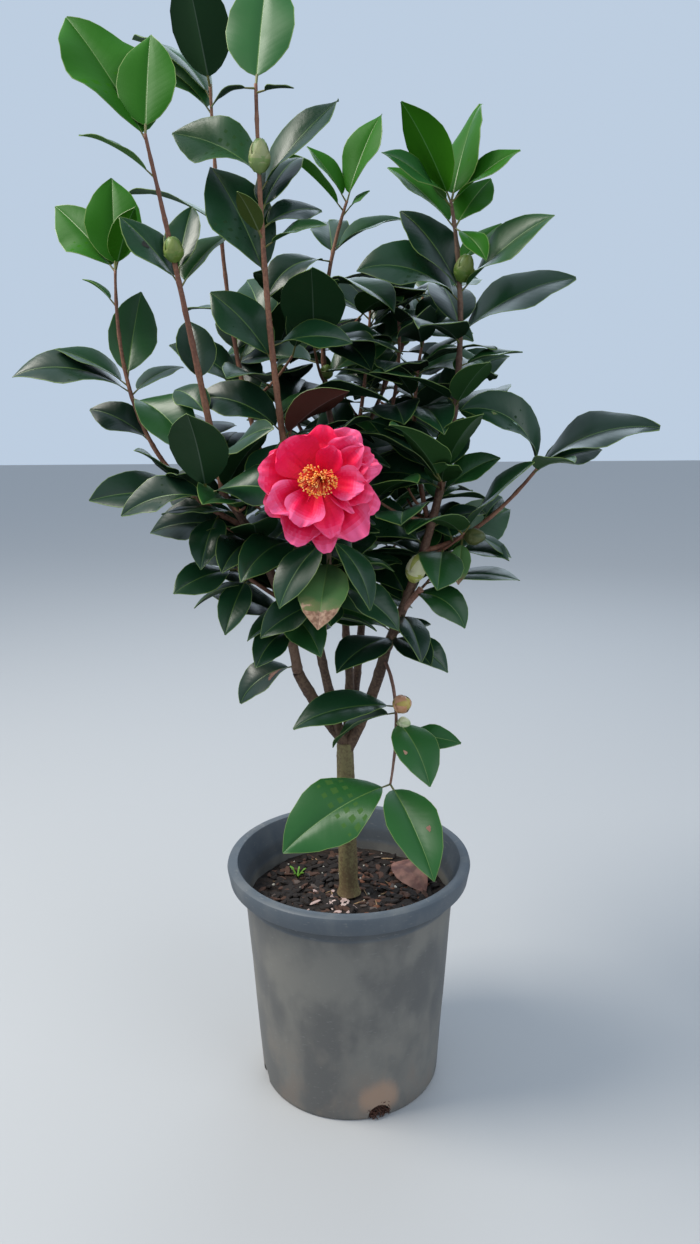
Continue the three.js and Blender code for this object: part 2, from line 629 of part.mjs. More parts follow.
function growInnerLeaves() {
  INNER_LEAF_ROWS.forEach(([shoot, from, to, count, first, rise, length], index) => {
    const draws = new Draws(9001 + 31 * index);
    for (let i = 0; i < count; i += 1) {
      const at = THREE.MathUtils.lerp(from, to, i / (count - 1));
      const azimuth = first + SPIRAL * i + draws.between(-12, 12);
      const shape = {
        rise: rise + draws.between(-30, 30),
        length: length * draws.between(0.82, 1.1),
        arch: OLD.arch * draws.between(0.5, 1.4),
        roll: draws.between(-40, 40) + INNER_FRONT_ROLL * Math.cos(radians(azimuth)),
        width: OLD.width * draws.between(0.95, 1.12),
      };
      addLeaf(SHOOTS[shoot].mass, limbs[shoot], at, azimuth, shape, INNER_BLADE);
    }
  });
}

// Closed solid of a geometry, with shared corners merged and collapsed faces left out
function solid(geometry) {
  const bare = geometry.clone();
  bare.deleteAttribute("normal");
  bare.deleteAttribute("uv");
  const merged = mergeVertices(bare, 1e-4);
  const index = merged.index.array;
  const faces = [];
  for (let i = 0; i < index.length; i += 3) {
    const [a, b, c] = [index[i], index[i + 1], index[i + 2]];
    if (a !== b && b !== c && c !== a) faces.push(a, b, c);
  }
  const mesh = new wasm.Mesh({
    numProp: 3,
    vertProperties: merged.getAttribute("position").array,
    triVerts: new Uint32Array(faces),
  });
  return new wasm.Manifold(mesh);
}

// Largest body of a solid, so that loose scraps and sealed hollows drop out
function mainBody(shape) {
  return shape.decompose().reduce((best, next) => (next.volume() > best.volume() ? next : best));
}

function meshOf(name, shape, material) {
  const { vertProperties, triVerts } = mainBody(shape).getMesh();
  const geometry = new THREE.BufferGeometry();
  geometry.setAttribute("position", new THREE.BufferAttribute(vertProperties, 3));
  geometry.setIndex(new THREE.BufferAttribute(triVerts, 1));
  geometry.computeVertexNormals();
  const mesh = new THREE.Mesh(geometry, material);
  mesh.name = name;
  return mesh;
}

// Body of turning about the pot's axis, from radius and height pairs
function lathe(profile, facets) {
  const points = profile.map(([radius, height]) => new THREE.Vector2(radius, height));
  return solid(new THREE.LatheGeometry(points, facets).rotateX(Math.PI / 2));
}

function outerRadius(height) {
  const collar = POT_HEIGHT - COLLAR_HEIGHT;
  return THREE.MathUtils.lerp(BASE_RADIUS, COLLAR_RADIUS, Math.min(1, height / collar));
}

function potSolid() {
  const collar = POT_HEIGHT - COLLAR_HEIGHT;
  const band = POT_HEIGHT - BAND_HEIGHT;
  const lip = (RIM_RADIUS - MOUTH_RADIUS) / 3;
  let pot = lathe(
    [
      [0, 0], [BASE_RADIUS - 4, 0], [BASE_RADIUS - 1, 1.5], [outerRadius(5), 5],
      [COLLAR_RADIUS, collar], [COLLAR_RADIUS + 2, collar + 1.5], [COLLAR_RADIUS + 4, band],
      [RIM_RADIUS - 3, band], [RIM_RADIUS, POT_HEIGHT - lip], [RIM_RADIUS - lip, POT_HEIGHT],
      [MOUTH_RADIUS + lip, POT_HEIGHT], [MOUTH_RADIUS, POT_HEIGHT - lip],
      [COLLAR_RADIUS + 1, band - 2], [COLLAR_RADIUS - WALL, collar], [outerRadius(6) - WALL, 6],
      [outerRadius(6) - WALL - 2, WALL], [0, WALL],
    ],
    POT_FACETS,
  );
  for (let i = 0; i < DRAIN_COUNT; i += 1) {
    const drain = new THREE.CylinderGeometry(DRAIN_RADIUS, DRAIN_RADIUS, 40, 14);
    drain.rotateZ(Math.PI / 2).translate(BASE_RADIUS + 2, 0, DRAIN_CENTRE);
    drain.rotateZ(radians(FIRST_DRAIN + (360 / DRAIN_COUNT) * i));
    pot = pot.subtract(solid(drain));
  }
  return pot;
}

function soilSolid() {
  const inside = (height) => outerRadius(height) - WALL - GAP;
  return lathe(
    [
      [0, WALL + GAP], [inside(6) - 3, WALL + GAP], [inside(8) - 0.5, 8],
      [inside(SOIL_TOP), SOIL_TOP], [0, SOIL_TOP],
    ],
    POT_FACETS,
  );
}

// Trunk with a flared foot and a flat cut where it meets the soil
function trunkGeometry(spare = 0) {
  const rings = [];
  for (const t of [0, 0.04, 0.1, 0.3, 0.5, 0.7, 0.85, 1]) {
    const height = trunk.axis(t).z - SOIL_TOP;
    const flare = FLARE * Math.max(0, 1 - height / FLARE_HEIGHT) ** 2;
    const heading = t === 0 ? UP : trunk.heading(t);
    rings.push(circle(trunk.axis(t), heading, trunk.radius(t) + flare + spare, 14));
  }
  return loft(rings);
}

function limbSolid(name, spare = 0) {
  const [sides, steps] = name in BOUGHS ? [8, 6] : [5, 6];
  return solid(limbs[name].geometry(sides, steps, spare));
}

// Each bough keeps clear of the trunk and of the boughs before it
function boughMeshes(material) {
  const cutters = [solid(trunkGeometry(GAP))];
  return Object.keys(BOUGHS).map((name) => {
    const bough = cutters.reduce((shape, cutter) => shape.subtract(cutter), limbSolid(name));
    cutters.push(limbSolid(name, GAP));
    return meshOf(name, bough, material);
  });
}

// Shoots that leave the side of a bough are cut clear of it and of the stem that goes on from it
const SIDE_STARTS = {
  foliage_low: ["bough_right", "right_stem"],
  bloom_spray: ["bough_centre_left", "centre_left_stem"],
};

function massMesh(name, material) {
  let shape = masses[name].map(solid).reduce((all, next) => all.add(next));
  for (const neighbour of SIDE_STARTS[name] ?? []) {
    shape = shape.subtract(limbSolid(neighbour, GAP));
  }
  return meshOf(name, shape, material);
}

function growBloom() {
  const frame = new THREE.Matrix4().lookAt(bloomFacing, new THREE.Vector3(), UP).setPosition(bloomCentre);
  PETAL_WHORLS.forEach(({ count, first, shape }, whorl) => {
    for (let i = 0; i < count; i += 1) {
      const foot = new THREE.Vector3(0, 0, whorl * 3 - 16);
      const petal = new Blade(foot, first + (360 / count) * i, shape, PETAL);
      const rings = [petal.section(foot, 0, 4, 2, 0), ...petal.sections()];
      addPiece("bloom_spray", loft(rings, petal.rib(1)).applyMatrix4(frame));
    }
  });
  addPiece("bloom_spray", turned(bloomCentre, bloomFacing, BLOOM_HEART, 10, HEART_TIP));
}

for (const [name, row] of Object.entries(SHOOTS)) addPiece(row.mass, limbs[name].geometry(5, 6));
for (const [shoot, at, ...shape] of BUDS) {
  addPiece(SHOOTS[shoot].mass, budGeometry(limbs[shoot].axis(at), ...shape));
}
growOuterLeaves();
growTwigs();
growInnerLeaves();
growBloom();

const finish = (color, roughness) => new THREE.MeshStandardMaterial({ color, roughness, metalness: 0 });
const potPlastic = finish(0x4b4d4f, 0.75);
const earth = finish(0x2b1d16, 0.95);
const bark = finish(0x7a5a48, 0.8);
const leafGreen = finish(0x1f4a2a, 0.35);
const petalPink = finish(0xe21f55, 0.5);

const shrub = new THREE.Group();
shrub.add(meshOf("pot", potSolid(), potPlastic));
shrub.add(meshOf("potting_soil", soilSolid(), earth));
shrub.add(meshOf("trunk", solid(trunkGeometry()), bark));
shrub.add(...boughMeshes(bark));
for (const name of Object.keys(masses)) {
  shrub.add(massMesh(name, name === "bloom_spray" ? petalPink : leafGreen));
}

export default shrub;
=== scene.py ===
"""Looks of a potted camellia shrub, in metres, +Z up, with its front towards -Y.

Limbs, twigs, leaves and buds grow in millimetres by the same tables and seeded rule as the solids.
"""

import math

import bpy
import numpy as np
from mathutils import Matrix, Vector, noise
from mathutils.bvhtree import BVHTree

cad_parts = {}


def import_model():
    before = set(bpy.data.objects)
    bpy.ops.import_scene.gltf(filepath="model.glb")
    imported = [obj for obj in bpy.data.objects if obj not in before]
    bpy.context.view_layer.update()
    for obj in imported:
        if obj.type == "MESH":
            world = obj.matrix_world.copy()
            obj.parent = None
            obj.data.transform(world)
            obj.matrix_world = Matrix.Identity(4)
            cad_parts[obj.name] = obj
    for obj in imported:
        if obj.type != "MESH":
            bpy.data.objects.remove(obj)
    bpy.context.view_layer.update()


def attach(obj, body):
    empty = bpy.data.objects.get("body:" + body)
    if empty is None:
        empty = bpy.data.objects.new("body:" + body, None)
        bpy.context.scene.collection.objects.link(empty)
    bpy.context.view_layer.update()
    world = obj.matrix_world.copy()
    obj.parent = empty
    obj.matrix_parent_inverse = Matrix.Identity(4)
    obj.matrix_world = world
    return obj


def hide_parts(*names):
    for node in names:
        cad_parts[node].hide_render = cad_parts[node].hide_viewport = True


# Camera, fitted to the photo's perspective: place in metres, pitch and roll in degrees
CAMERA_PLACE = (0.003, -0.9696, 0.7538)
CAMERA_PITCH = 13.98
CAMERA_ROLL = 0.4
CAMERA_LENS = 28.53
SENSOR_WIDTH = 36

# Clearance between neighbouring bodies, in millimetres as all sizes below
GAP = 0.3

# Pot, soil and trunk
POT_HEIGHT = 255
RIM_RADIUS = 130
MOUTH_RADIUS = 118
BASE_RADIUS = 97.5
COLLAR_RADIUS = 111.5
WALL = 3
BAND_HEIGHT = 21
COLLAR_HEIGHT = 38
DRAIN_COUNT = 4
DRAIN_RADIUS = 12
DRAIN_CENTRE = 4
FIRST_DRAIN = 288
SOIL_TOP = 209.5
TRUNK = {"via": [-2, 0, 290], "to": [-3, 0, 383], "radii": [10.6, 9]}
FLARE = 3
FLARE_HEIGHT = 14

# Boughs: where each leaves the trunk, a point it bends through, its tip, its two radii
BOUGHS = {
    "bough_left": {"at": 1, "via": [-30, -6, 424], "to": [-50, -14, 464], "radii": [6.6, 5.6]},
    "bough_right": {"at": 0.94, "via": [22, -5, 428], "to": [39, -8, 485], "radii": [6.2, 5.4]},
    "bough_centre_left": {"at": 0.95, "via": [-18, -13, 440], "to": [-29, -22, 499], "radii": [5.2, 4.4]},
    "bough_centre": {"at": 0.97, "via": [2, 9, 436], "to": [-1, 18, 490], "radii": [5.2, 4.2]},
    "bough_back": {"at": 0.9, "via": [8, 30, 430], "to": [16, 62, 500], "radii": [5, 4]},
}

# Shoots, grouped by the mass of foliage that they carry
SHOOTS = {
    "left_stem": {"mass": "foliage_left", "from": "bough_left", "at": 1,
        "via": [-74, -26, 569], "to": [-117, -42, 650], "radii": [5.2, 3.6]},
    "left_front": {"mass": "foliage_left", "from": "left_stem", "at": 1,
        "via": [-138, -68, 805], "to": [-164, -80, 950], "radii": [3.4, 1.5]},
    "left_far": {"mass": "foliage_left", "from": "left_stem", "at": 0.76,
        "via": [-190, -6, 699], "to": [-213, 0, 852], "radii": [3, 1.4]},
    "left_low": {"mass": "foliage_left", "from": "left_stem", "at": 0.36,
        "via": [-88, -32, 560], "to": [-106, -30, 574], "radii": [2.2, 1.6]},
    "centre_left_stem": {"mass": "foliage_centre_left", "from": "bough_centre_left", "at": 1,
        "via": [-47, -36, 598], "to": [-57, -48, 698], "radii": [4.2, 3.4]},
    "centre_left_front": {"mass": "foliage_centre_left", "from": "centre_left_stem", "at": 1,
        "via": [-68, -66, 832], "to": [-71, -80, 987], "radii": [3.2, 1.5]},
    "centre_left_back": {"mass": "foliage_centre_left", "from": "centre_left_stem", "at": 0.62,
        "via": [-102, 14, 761], "to": [-121, 20, 1013], "radii": [3, 1.4]},
    "centre_stem": {"mass": "foliage_centre", "from": "bough_centre", "at": 1,
        "via": [-5, 24, 590], "to": [-10, 30, 692], "radii": [4, 3.2]},
    "centre_top": {"mass": "foliage_centre", "from": "centre_stem", "at": 1,
        "via": [-21, 42, 803], "to": [3, 50, 918], "radii": [3, 1.4]},
    "centre_dark": {"mass": "foliage_centre", "from": "centre_stem", "at": 0.62,
        "via": [16, 74, 722], "to": [26, 86, 822], "radii": [2.5, 1.3]},
    "centre_right": {"mass": "foliage_centre", "from": "centre_stem", "at": 0.45,
        "via": [46, 58, 716], "to": [52, 66, 822], "radii": [2.5, 1.3]},
    "right_stem": {"mass": "foliage_right", "from": "bough_right", "at": 1,
        "via": [101, -16, 704], "to": [96, -20, 907], "radii": [5.2, 1.5]},
    "right_far": {"mass": "foliage_right", "from": "right_stem", "at": 0.23,
        "via": [128, -20, 612], "to": [183, -22, 668], "radii": [2.7, 1.6]},
    "right_inner": {"mass": "foliage_right", "from": "right_stem", "at": 0.28,
        "via": [68, 18, 702], "to": [77, 30, 790], "radii": [2.7, 1.3]},
    "low_stem": {"mass": "foliage_low", "from": "bough_right", "at": 0.92,
        "via": [48, -40, 432], "to": [42, -54, 358], "radii": [1.9, 1.3]},
    "bloom_stem": {"mass": "bloom_spray", "from": "bough_centre_left", "at": 0.88,
        "via": [-16, -76, 585], "to": [-20, -115, 656], "radii": [2.6, 2]},
    "back_stem": {"mass": "foliage_back", "from": "bough_back", "at": 1,
        "via": [20, 92, 610], "to": [18, 114, 690], "radii": [3.9, 2.8]},
    "back_left": {"mass": "foliage_back", "from": "back_stem", "at": 0.45,
        "via": [-50, 124, 700], "to": [-88, 136, 800], "radii": [2.7, 1.3]},
    "back_right": {"mass": "foliage_back", "from": "back_stem", "at": 1,
        "via": [50, 140, 760], "to": [84, 142, 836], "radii": [2.6, 1.3]},
    "back_low": {"mass": "foliage_back", "from": "back_stem", "at": 0.3,
        "via": [14, 132, 600], "to": [6, 168, 664], "radii": [2.4, 1.4]},
}

# Kinds of leaf: how far the blade arches over, and its width over its length
OLD = {"arch": 40, "width": 0.56}
YOUNG = {"arch": 12, "width": 0.56}
SOFT = {"arch": 26, "width": 0.54}
BROAD = {"arch": 30, "width": 0.64}

# Leaves that give the crown its outline: place on the shoot, azimuth, rise, length, kind,
# then arch and roll where they differ from the kind's own
OUTER_LEAVES = {
    "left_front": [
        [1, 87, 72, 84, YOUNG, 10, 0], [0.98, 146, 56, 130, YOUNG, 10, -25],
        [0.88, 190, 42, 60, SOFT, 30, -10],
        [0.59, 200, 54, 70, BROAD, 15, -30], [0.61, 75, 68, 64, OLD, 20, 0], [0.58, 50, 50, 74, OLD, 25],
        [0.31, 112, 63, 62, BROAD, 15, 0], [0.03, 130, 42, 70, OLD],
        [0.07, 70, 40, 76, OLD], [0.22, 130, 40, 56, OLD],
    ],
    "left_far": [
        [1, 145, 45, 92, YOUNG, 12, -50], [1, 100, 68, 92, YOUNG, 12, 0], [1, 320, 64, 54, YOUNG, 12, 0],
        [0.91, 170, 50, 32, YOUNG, 30, 0], [0.7, 78, 67, 86, OLD, 12, 35],
        [0.66, 188, 34, 106, OLD, 55, -36],
        [0.68, 142, 38, 68, OLD, 25, -20], [0.64, 325, -12, 84, BROAD, 50, 40],
        [0.65, 42, 38, 58, OLD, 30, 10],
        [0.48, 160, 38, 66, OLD, 30, -45], [0.3, 240, 35, 60, OLD, 10],
        [0.2, 178, 16, 96, OLD, 30, -35], [0.23, 98, 64, 40, OLD, 15, 0], [0.11, 255, -25, 60, OLD],
        [0.4, 30, 30, 70, OLD],
    ],
    "left_low": [
        [1, 215, 0, 62, BROAD, 30, -40], [0.97, 165, 5, 72, OLD, 30, -20],
        [0.7, 250, -30, 60, OLD, 25, -20],
        [0.95, 110, 30, 66, OLD],
    ],
    "left_stem": [
        [0.74, 190, 14, 98, OLD, 35, -45], [0.6, 170, 30, 80, OLD], [0.03, 188, -8, 64, BROAD, 55, -30],
        [0.28, 300, 5, 72, OLD, 55], [0.66, 260, 40, 74, OLD],
    ],
    "centre_left_front": [
        [1, 80, 68, 102, SOFT, 8, 0], [0.99, 190, 0, 34, OLD, 60, 0], [0.98, 330, 5, 28, OLD, 20],
        [0.79, 165, 38, 88, BROAD, 30, -55], [0.745, 12, 55, 92, OLD, 18, 30],
        [0.52, 158, 66, 104, OLD, 15, -40],
        [0.62, 235, 55, 38, SOFT, 15, 10], [0.6, 350, 30, 50, OLD, 30, 30], [0.65, 40, 35, 62, OLD],
        [0.69, 60, 55, 78, OLD, 30], [0.55, 85, 45, 70, OLD, 10], [0.04, 172, 42, 88, OLD, 50, -45],
        [0.02, 330, 42, 74, OLD, 25, -25], [0.02, 240, -33, 60, BROAD, 20, -20],
        [0.27, 153, 55, 82, OLD, 25, -40],
        [0.32, 10, 20, 66, OLD],
    ],
    "centre_left_stem": [[0.52, 235, 5, 80, OLD, 50], [0.14, 255, 30, 60, OLD]],
    "centre_left_back": [
        [1, 255, 64, 90, BROAD, 6, 0], [0.98, 150, 58, 104, OLD, 50, 0], [0.96, 145, 50, 84, OLD, 30],
        [0.79, 165, 34, 92, OLD, 30, 0], [0.53, 130, 60, 74, OLD, 30], [0.44, 165, 50, 84, OLD],
        [0.51, 60, 60, 66, OLD],
    ],
    "centre_top": [
        [1, 20, 72, 80, YOUNG, 12, 30], [1, 122, 58, 58, YOUNG, 12, -20], [0.96, 186, 50, 74, YOUNG, 20, 0],
        [0.94, 355, 48, 26, YOUNG, 20, 30], [0.8, 17, 38, 70, OLD, 30, 20],
        [0.76, 205, 5, 74, OLD, 75, -40],
        [0.6, 250, 10, 70, OLD], [0.67, 315, 0, 88, OLD], [0.78, 70, 45, 70, OLD, 30],
        [0.46, 305, -5, 80, OLD],
    ],
    "centre_dark": [
        [0.96, 305, 30, 84, OLD], [0.94, 150, 40, 84, OLD], [0.89, 90, 10, 74, OLD],
        [0.9, 30, 60, 80, OLD, 30],
    ],
    "centre_right": [
        [0.96, 20, 45, 84, OLD], [0.9, 250, 45, 80, OLD], [0.81, 200, 20, 70, OLD],
        [0.67, 180, 30, 50, OLD],
    ],
    "right_stem": [
        [1, 200, 64, 84, YOUNG, 12, 30], [1, 82, 66, 98, YOUNG, 12, -35], [1, 350, 42, 64, YOUNG, 15, 40],
        [0.94, 43, 50, 60, YOUNG, 15, 30], [0.985, 180, 42, 72, SOFT, 25, -50],
        [0.94, 140, 48, 80, YOUNG, 15, -20],
        [0.94, 306, -24, 44, YOUNG, 30, 30], [0.86, 15, 42, 60, YOUNG, 15, 10],
        [0.8, 336, 46, 96, OLD, 20, 50],
        [0.71, 8, 40, 114, OLD, 32, 30], [0.78, 172, 45, 98, BROAD, 60, -45],
        [0.8, 147, 62, 92, OLD, 25, -30],
        [0.72, 100, 45, 84, OLD, 30], [0.69, 240, 25, 80, OLD], [0.64, 8, 20, 54, OLD, 20, 10],
        [0.62, 60, 15, 76, OLD], [0.55, 295, 45, 62, OLD, 20, 0], [0.38, 178, 62, 86, OLD, 45, -45],
        [0.35, 0, 46, 62, OLD, 30, 45], [0.4, 50, 56, 62, OLD, 20, 30], [0.48, 95, 30, 66, OLD],
        [0.28, 0, 28, 48, OLD, 30, 30], [0.21, 34, 42, 38, SOFT, 15, 0],
        [0.13, 336, 8, 64, OLD, 80, 40], [0.03, 345, -12, 60, OLD, 40, 30], [0.03, 10, 28, 34, OLD, 30, 30],
        [0.03, 315, 5, 60, OLD], [0.04, 150, 35, 84, OLD], [0.03, 245, 5, 84, OLD, 30],
        [0.12, 115, 40, 84, OLD], [0.24, 165, 40, 84, OLD], [0.145, 26, 40, 56, OLD, 15, 40],
    ],
    "right_inner": [
        [0.84, 320, 30, 76, OLD], [0.8, 235, 20, 84, OLD], [0.62, 285, 5, 80, OLD],
        [0.98, 60, 50, 80, OLD, 30],
    ],
    "right_far": [
        [1, 355, 42, 114, OLD, 50, 26], [1, 172, 80, 96, OLD, 95, -45], [0.99, 20, 24, 66, OLD, 25, 40],
        [0.97, 290, 25, 62, OLD, 30], [0.53, 29, 40, 38, OLD, 30, 40], [0.36, 255, -55, 40, OLD, 20, 0],
        [0.42, 350, -22, 44, OLD, 20, 30],
    ],
    "low_stem": [
        [1, 200, -12, 118, SOFT, 30], [1, 292, -18, 106, SOFT, 25], [0.47, 190, 8, 98, OLD, 35],
        [0.52, 150, -15, 74, OLD], [0.58, 295, -10, 76, SOFT, 50], [0.69, 350, 5, 56, SOFT, 20],
    ],
    "bloom_stem": [
        [0.55, 262, -30, 74, BROAD, 20, 0], [0.3, 205, -12, 66, OLD, 25, -40],
        [0.15, 300, -45, 64, OLD, 20, 0],
        [0.42, 345, -20, 74, OLD, 30, 30], [0.5, 20, 5, 58, OLD, 30], [0.5, 185, 10, 84, OLD, 30],
        [0.68, 335, -35, 70, OLD, 50], [0.68, 215, -30, 72, OLD, 40], [0.8, 60, 10, 80, OLD],
        [0.82, 130, 15, 80, OLD],
    ],
    "back_left": [[1, 110, 60, 84, OLD], [1, 230, 45, 70, OLD]],
    "back_right": [[1, 60, 60, 80, OLD], [0.96, 205, 50, 70, OLD]],
    "back_low": [[1, 90, 30, 84, OLD]],
}

# Side twigs: shoot, first and last place on it, count, first azimuth, rise, length
TWIG_ROWS = [
    ["left_stem", 0.42, 0.95, 4, 200, 20, 62],
    ["left_far", 0.1, 0.34, 2, 120, 20, 50],
    ["left_front", 0.04, 0.2, 2, 30, 40, 56],
    ["centre_left_stem", 0.3, 0.95, 5, 240, 25, 60],
    ["centre_left_back", 0.12, 0.42, 3, 60, 35, 56],
    ["centre_stem", 0.35, 0.95, 5, 30, 25, 60],
    ["centre_top", 0.08, 0.45, 3, 130, 30, 56],
    ["centre_dark", 0.42, 0.85, 2, 90, 35, 50],
    ["centre_right", 0.45, 0.85, 2, 20, 35, 50],
    ["right_stem", 0.12, 0.3, 2, 60, 25, 60],
    ["right_inner", 0.3, 0.8, 2, 120, 30, 50],
    ["back_stem", 0.25, 0.95, 5, 60, 25, 66],
    ["back_left", 0.2, 0.85, 3, 100, 35, 60],
    ["back_right", 0.2, 0.85, 3, 26, 35, 60],
    ["back_low", 0.35, 0.9, 2, 120, 15, 56],
    ["right_stem", 0.4, 0.5, 2, 100, 25, 60],
]
TWIG_RADII = [1.7, 1.2]
TWIG_LEAF = 88
TWIG_LEAVES = [
    {"at": 1, "turn": 10, "rise": 45},
    {"at": 0.96, "turn": 105, "rise": 25},
    {"at": 0.74, "turn": -110, "rise": 15},
    {"at": 0.5, "turn": 75, "rise": 10},
]

# Leaves straight on the shoots: shoot, first and last place on it, count, first azimuth, rise, length
INNER_LEAF_ROWS = [
    ["left_stem", 0.35, 0.98, 8, 40, 30, 84],
    ["left_front", 0.03, 0.16, 3, 200, 35, 80],
    ["left_far", 0.06, 0.34, 3, 100, 30, 80],
    ["centre_left_stem", 0.3, 1, 9, 90, 30, 84],
    ["centre_left_back", 0.1, 0.4, 4, 30, 35, 80],
    ["centre_stem", 0.4, 1, 7, 20, 30, 86],
    ["centre_top", 0.05, 0.5, 5, 100, 35, 84],
    ["centre_dark", 0.35, 0.9, 4, 60, 40, 92],
    ["centre_right", 0.35, 0.9, 4, 120, 40, 92],
    ["right_stem", 0.1, 0.56, 7, 80, 32, 86],
    ["right_inner", 0.3, 0.95, 4, 200, 38, 92],
    ["back_stem", 0.35, 1, 7, 90, 30, 86],
    ["back_left", 0.25, 1, 9, 150, 40, 88],
    ["back_right", 0.25, 1, 8, 60, 40, 88],
    ["back_low", 0.3, 1, 5, 30, 25, 84],
]
SPIRAL = 144

# Leaf: stalk, then the blade as place along the rib and share of the half width, fold, thickness
STALK = 9
STALK_HALF = 1
OUTER_BLADE = [[0.33, 0.95], [0.7, 0.82]]
INNER_BLADE = [[0.48, 1]]
FOLD = 16
THICK_SHARE = 0.0055
LEAST_THICK = 0.5
LEAF_CLEARANCE = 0.35
LIMB_CLEARANCE = 0.5
ROOT_SHARE = 0.06
TURNS = [0, 12, -12, 24, -24, 36, -36]
FRONT_ROLL = 28
INNER_FRONT_ROLL = 20

# Buds: shoot, place on it, azimuth, rise, length, width
BUDS = [
    ["left_front", 0.64, 265, 72, 21, 17],
    ["centre_left_front", 0.78, 290, 80, 27, 18],
    ["right_stem", 0.815, 320, 72, 25, 18],
    ["centre_top", 0.27, 285, 50, 15, 13],
    ["right_stem", 0.155, 285, 58, 33, 19],
    ["right_far", 0.36, 320, 5, 22, 16],
    ["low_stem", 0.46, 300, 20, 20, 18],
    ["back_left", 0.72, 90, 60, 22, 15],
    ["back_right", 0.66, 60, 60, 22, 15],
]
BUD_STALK = 4
BUD_OUTLINE = [[0, 0.5], [0.35, 1], [0.7, 0.8]]

# Bloom at the tip of its stem: its centre, its facing, and the reach that leaves keep out of
BLOOM_CENTRE = [-21, -140, 663]
BLOOM_FACING = [0.05, -0.96, 0.22]
BLOOM_REACH = {"radius": 59, "depth": 30, "setback": 8}

# Ranges of the draws. Lengths, arches and widths are shares of the stated ones, the rest are degrees
LENGTHS = (0.82, 1.1)
ARCHES = (0.5, 1.4)
WIDTHS = (0.95, 1.12)
OUTER_ROLLS = (-20, 20)
TWIG_LENGTHS = (0.75, 1.15)
TWIG_SPREAD = (-15, 15)
TWIG_LEAF_RISES = (-18, 24)
TWIG_LEAF_ROLLS = (-35, 35)
INNER_SPREAD = (-12, 12)
INNER_RISES = (-30, 30)
INNER_ROLLS = (-40, 40)

# Seeds of the crown's draws
OUTER_SEED = 501
TWIG_SEED = 7001
INNER_SEED = 9001
FINE_TWIG_SEED = 17001
FINE_LEAF_SEED = 19001
LEAF_LOOK_SEED = 3100

UP = Vector((0, 0, 1))
radians = math.radians


def set_camera():
    camera = bpy.data.objects.new("camera", bpy.data.cameras.new("camera"))
    camera.data.lens = CAMERA_LENS
    camera.data.sensor_width = SENSOR_WIDTH
    camera.data.clip_start = 0.01
    pitch, roll = radians(CAMERA_PITCH), radians(CAMERA_ROLL)
    ahead = Vector((0, math.cos(pitch), -math.sin(pitch)))
    right = Vector((1, 0, 0))
    above = right.cross(ahead)
    level_right = right * math.cos(roll) - above * math.sin(roll)
    level_above = above * math.cos(roll) + right * math.sin(roll)
    turn = Matrix((level_right, level_above, -ahead)).transposed()
    camera.matrix_world = Matrix.Translation(CAMERA_PLACE) @ turn.to_4x4()
    bpy.context.scene.collection.objects.link(camera)
    bpy.context.scene.camera = camera


class Value:
    """A number, colour or vector in a material, which plain arithmetic can combine."""

    def __init__(self, look, socket):
        self.look = look
        self.socket = socket

    def maths(self, operation, *others):
        return self.look.node("ShaderNodeMath", (self, *others), operation=operation)

    def __add__(self, other):
        return self.maths("ADD", other)

    __radd__ = __add__

    def __mul__(self, other):
        return self.maths("MULTIPLY", other)

    __rmul__ = __mul__

    def __sub__(self, other):
        return self.maths("SUBTRACT", other)

    def __rsub__(self, other):
        return self * -1 + other

    def over(self, low, high):
        """0 below low, 1 above high, smooth between."""
        settings = {"interpolation_type": "SMOOTHSTEP", "clamp": True}
        return self.look.node("ShaderNodeMapRange", (self, low, high), **settings)

    def sine(self):
        return self.maths("SINE")

    def size(self):
        return self.maths("ABSOLUTE")


class Look:
    """One material: its base colour, roughness and what varies over its surface."""

    def __init__(self, name, colour, roughness, **constants):
        self.material = bpy.data.materials.new(name)
        self.material.use_nodes = True
        self.tree = self.material.node_tree
        self.shader = self.tree.nodes["Principled BSDF"]
        self.set("Base Color", (*colour, 1))
        self.set("Roughness", roughness)
        for socket, value in constants.items():
            self.set(socket.replace("_", " ").title().replace("Ior", "IOR"), value)

    def set(self, socket, value):
        if isinstance(value, Value):
            self.tree.links.new(value.socket, self.shader.inputs[socket])
        else:
            self.shader.inputs[socket].default_value = value

    def node(self, kind, values=(), output=0, **settings):
        """Adds a node and returns one of its outputs. Values go to its inputs by order or by name."""
        made = self.tree.nodes.new(kind)
        for setting, value in settings.items():
            setattr(made, setting, value)
        named = values.items() if isinstance(values, dict) else enumerate(values)
        for key, value in named:
            if isinstance(value, Value):
                self.tree.links.new(value.socket, made.inputs[key])
            else:
                made.inputs[key].default_value = value
        return Value(self, made.outputs[output])

    def place(self):
        return self.node("ShaderNodeTexCoord", output="Object")

    def part_of_place(self, part):
        return self.node("ShaderNodeSeparateXYZ", (self.place(),), output=part)

    def place_on_blade(self, part):
        """Place on a leaf: across from -1 to 1 as part 0, along from stalk to tip as part 1."""
        place = self.node("ShaderNodeUVMap", uv_map="place")
        return self.node("ShaderNodeSeparateXYZ", (place,), output=part)

    def stretched(self, x, y, z):
        values = {"Vector": self.place(), "Scale": (x, y, z)}
        return self.node("ShaderNodeMapping", values)

    def noise(self, scale, detail=3, place=None):
        values = {"Vector": place or self.place(), "Scale": scale, "Detail": detail}
        return self.node("ShaderNodeTexNoise", values)

    def mix(self, share, first, second):
        """Colour between two, by a share from 0 to 1."""
        pick = [c if isinstance(c, Value) else (*c[:3], 1) for c in (first, second)]
        values = {0: share, 6: pick[0], 7: pick[1]}
        return self.node("ShaderNodeMix", values, output=2, data_type="RGBA")

    def bump(self, height, strength, depth):
        values = {"Height": height, "Strength": strength, "Distance": depth}
        self.set("Normal", self.node("ShaderNodeBump", values))


